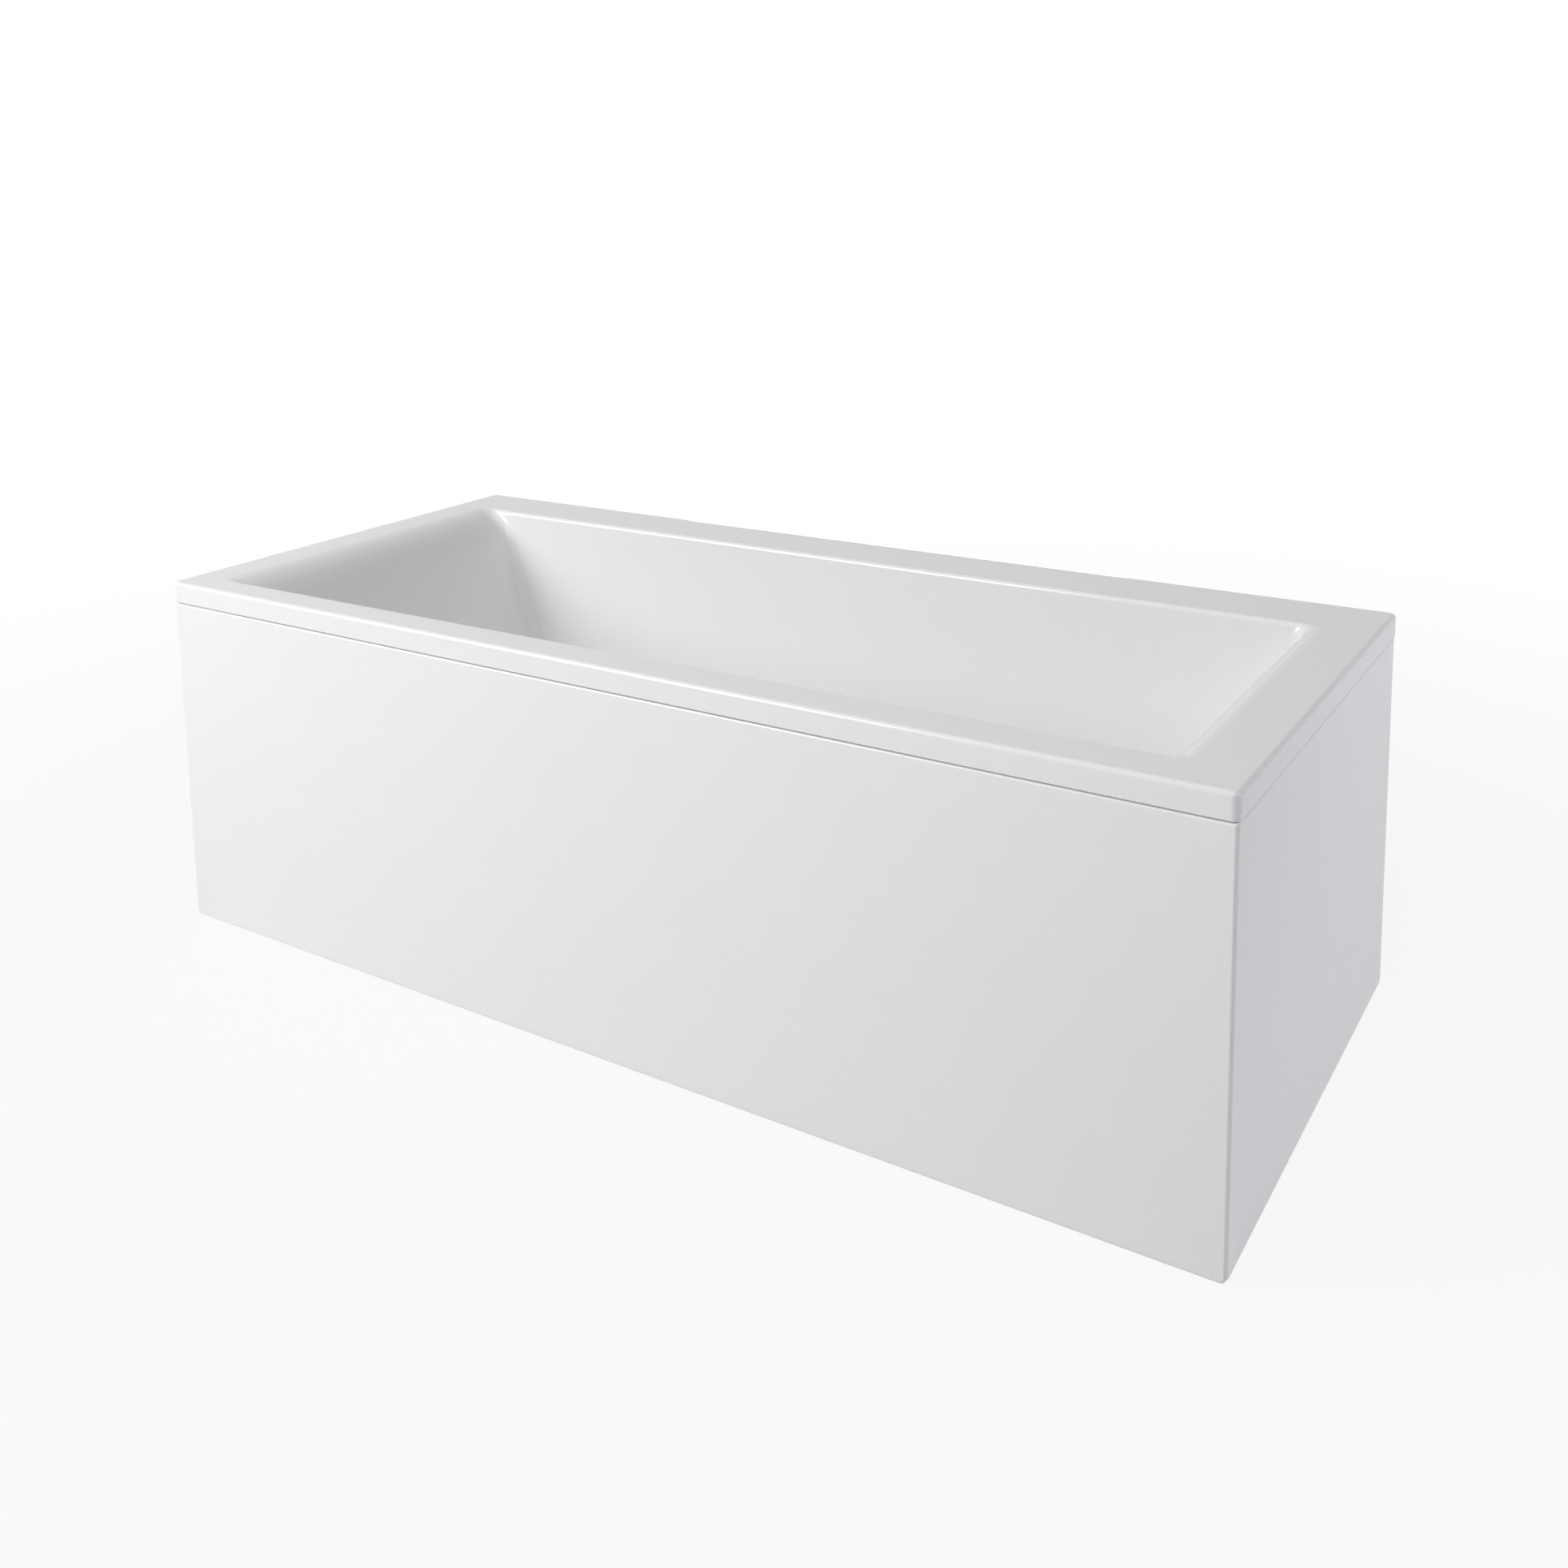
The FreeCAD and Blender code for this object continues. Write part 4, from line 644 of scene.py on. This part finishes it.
CAMERA_PLACE = Vector((1.297, -1.938, 1.213))
CAMERA_AZIMUTH = math.radians(32.4)
CAMERA_TILT = math.radians(8.4)
CAMERA_ROLL = math.radians(-0.91)
CAMERA_LENS = 36.77
CAMERA_SHIFT = -0.25
SENSOR_WIDTH = 36
VIEW_END = 200
FLOOR_SIDE = 60
FLOOR_NEAR, FLOOR_FAR = 0.9, 3.2
NEAR_WHITE, FAR_WHITE = 0.9, 1.0
SKY_LOW, SKY_HIGH = 0.1, 0.9
HORIZON_LEVEL, ZENITH_LEVEL = 0.10, 0.16
LAMPS = (
    # name, place, width, height, watts, colour
    ("left_key", (-2.6, -3.2, 2.6), 2.4, 2.4, 156, "#fffefc"),
    ("front_fill", (0.9, -2.7, 2.8), 1.4, 1.4, 24, "#ffffff"),
    ("right_fill", (3.4, 0.4, 0.9), 1.7, 1.7, 25, "#f2f6ff"),
    ("top_fill", (0.2, 0.2, 3.4), 2.0, 2.0, 8, "#ffffff"),
    ("back_fill", (-1.4, 3.2, RIM_Z / 2), 1.6, 0.4, 35, "#ffffff"),
)


def white_to_camera(tree, shader, glow, share):
    """Show plain white to the camera and to mirrors, by a share, and a shader to the rest."""
    path = add_node(tree, "LightPath")
    seen = add_node(tree, "Math", {"operation": "MAXIMUM"}, {
        0: path.outputs["Is Camera Ray"], 1: path.outputs["Is Glossy Ray"]}).outputs[0]
    seen = add_node(tree, "Math", {"operation": "MAXIMUM"}, {
        0: seen, 1: path.outputs["Is Transmission Ray"]}).outputs[0]
    seen = add_node(tree, "Math", {"operation": "MULTIPLY"}, {0: seen, 1: share}).outputs[0]
    white = add_node(tree, glow, inputs={"Color": (1, 1, 1, 1), "Strength": 1.0}).outputs[0]
    return add_node(tree, "MixShader", inputs={0: seen, 1: shader, 2: white}).outputs[0]


def soft_lamp(name, place, target, width, height, power, colour):
    """A studio softbox aimed at a point, unseen by the camera itself."""
    aim = (target - place).to_track_quat("-Z", "Y").to_euler()
    bpy.ops.object.light_add(type="AREA", location=place, rotation=aim)
    lamp = bpy.context.object
    lamp.name = name
    lamp.data.shape = "RECTANGLE"
    lamp.data.size, lamp.data.size_y = width, height
    lamp.data.energy = power
    lamp.data.color = linear(colour)
    lamp.visible_camera = False
    return lamp


class BATH_OT_stage(bpy.types.Operator):
    """Set the floor, the lamps, the world and the camera"""
    bl_idname = "bath.stage"
    bl_label = "Stage"

    def execute(self, context):
        scene = context.scene
        scene.view_settings.view_transform = "Standard"
        self.lay_floor()
        self.light(scene)
        self.aim_camera(scene)
        return {"FINISHED"}

    @staticmethod
    def lay_floor():
        bpy.ops.object.select_all(action="DESELECT")
        bpy.ops.mesh.primitive_plane_add(size=FLOOR_SIDE)
        floor = bpy.context.object
        floor.name = "studio_floor"
        material = bpy.data.materials.new("matt_studio_floor")
        material.use_nodes = True
        tree = material.node_tree
        tree.nodes.clear()
        matt = add_node(tree, "BsdfDiffuse", inputs={"Color": [*colours().floor, 1]}).outputs[0]
        place = add_node(tree, "TexCoord").outputs["Object"]
        away = add_node(tree, "VectorMath", {"operation": "LENGTH"}, {0: place}).outputs["Value"]
        share = add_node(tree, "MapRange", {"interpolation_type": "SMOOTHSTEP"}, {
            "Value": away, "From Min": FLOOR_NEAR, "From Max": FLOOR_FAR,
            "To Min": NEAR_WHITE, "To Max": FAR_WHITE}).outputs[0]
        seen = white_to_camera(tree, matt, "Emission", share)
        add_node(tree, "OutputMaterial", inputs={"Surface": seen})
        floor.data.materials.append(material)

    @staticmethod
    def light(scene):
        world = bpy.data.worlds.new("studio")
        scene.world = world
        world.use_nodes = True
        tree = world.node_tree
        tree.nodes.clear()
        place = add_node(tree, "TexCoord").outputs["Generated"]
        height = add_node(tree, "SeparateXYZ", inputs={0: place}).outputs["Z"]
        level = add_node(tree, "MapRange", {"interpolation_type": "SMOOTHSTEP"}, {
            "Value": height, "From Min": SKY_LOW, "From Max": SKY_HIGH,
            "To Min": HORIZON_LEVEL, "To Max": ZENITH_LEVEL})
        ambient = add_node(tree, "Background", inputs={
            "Color": [*linear("#f3f5f8"), 1], "Strength": level.outputs[0]})
        shown = white_to_camera(tree, ambient.outputs[0], "Background", 1.0)
        add_node(tree, "OutputWorld", inputs={"Surface": shown})
        centre = Vector((0, 0, RIM_Z / 2))
        for name, place, width, height, watts, colour in LAMPS:
            soft_lamp(name, Vector(place), centre, width, height, watts, colour)

    @staticmethod
    def aim_camera(scene):
        azimuth, tilt, roll = CAMERA_AZIMUTH, CAMERA_TILT, CAMERA_ROLL
        level = Vector((-math.sin(azimuth), math.cos(azimuth), 0))
        ahead = level * math.cos(tilt) - Vector((0, 0, math.sin(tilt)))
        right = ahead.cross(Vector((0, 0, 1))).normalized()
        up = right.cross(ahead)
        across = right * math.cos(roll) + up * math.sin(roll)
        upright = up * math.cos(roll) - right * math.sin(roll)
        bpy.ops.object.camera_add(location=CAMERA_PLACE)
        camera = bpy.context.object
        camera.name = "photo_camera"
        axes = Matrix((across, upright, -ahead)).transposed().to_4x4()
        camera.matrix_world = Matrix.Translation(CAMERA_PLACE) @ axes
        camera.data.sensor_width = SENSOR_WIDTH
        camera.data.lens = CAMERA_LENS
        camera.data.shift_y = CAMERA_SHIFT
        camera.data.clip_end = VIEW_END
        scene.camera = camera


# ---------------------------------------------------------------- add-on

class BATH_PT_panel(bpy.types.Panel):
    """The bath's makers, in the sidebar"""
    bl_label = "Bath"
    bl_idname = "BATH_PT_panel"
    bl_space_type = "VIEW_3D"
    bl_region_type = "UI"
    bl_category = "Bath"

    def draw(self, context):
        for maker in MAKERS:
            self.layout.operator(maker.bl_idname)
        for group in (context.scene.bath_sizes, context.scene.bath_colours):
            for name in group.__annotations__:
                self.layout.prop(group, name)


MAKERS = (BATH_OT_shell, BATH_OT_panels, BATH_OT_timber, BATH_OT_steelwork, BATH_OT_outlets, BATH_OT_stage)
CLASSES = (BathSizes, BathColours) + MAKERS + (BATH_PT_panel,)


def register():
    for item in CLASSES:
        bpy.utils.register_class(item)
    bpy.types.Scene.bath_sizes = PointerProperty(type=BathSizes)
    bpy.types.Scene.bath_colours = PointerProperty(type=BathColours)


def unregister():
    del bpy.types.Scene.bath_colours
    del bpy.types.Scene.bath_sizes
    for item in reversed(CLASSES):
        bpy.utils.unregister_class(item)


def main():
    register()
    make_finishes()
    bpy.ops.bath.shell()
    bpy.ops.bath.panels()
    bpy.ops.bath.timber()
    bpy.ops.bath.steelwork()
    bpy.ops.bath.outlets()
    bpy.ops.bath.stage()


if __name__ == "__main__":
    main()
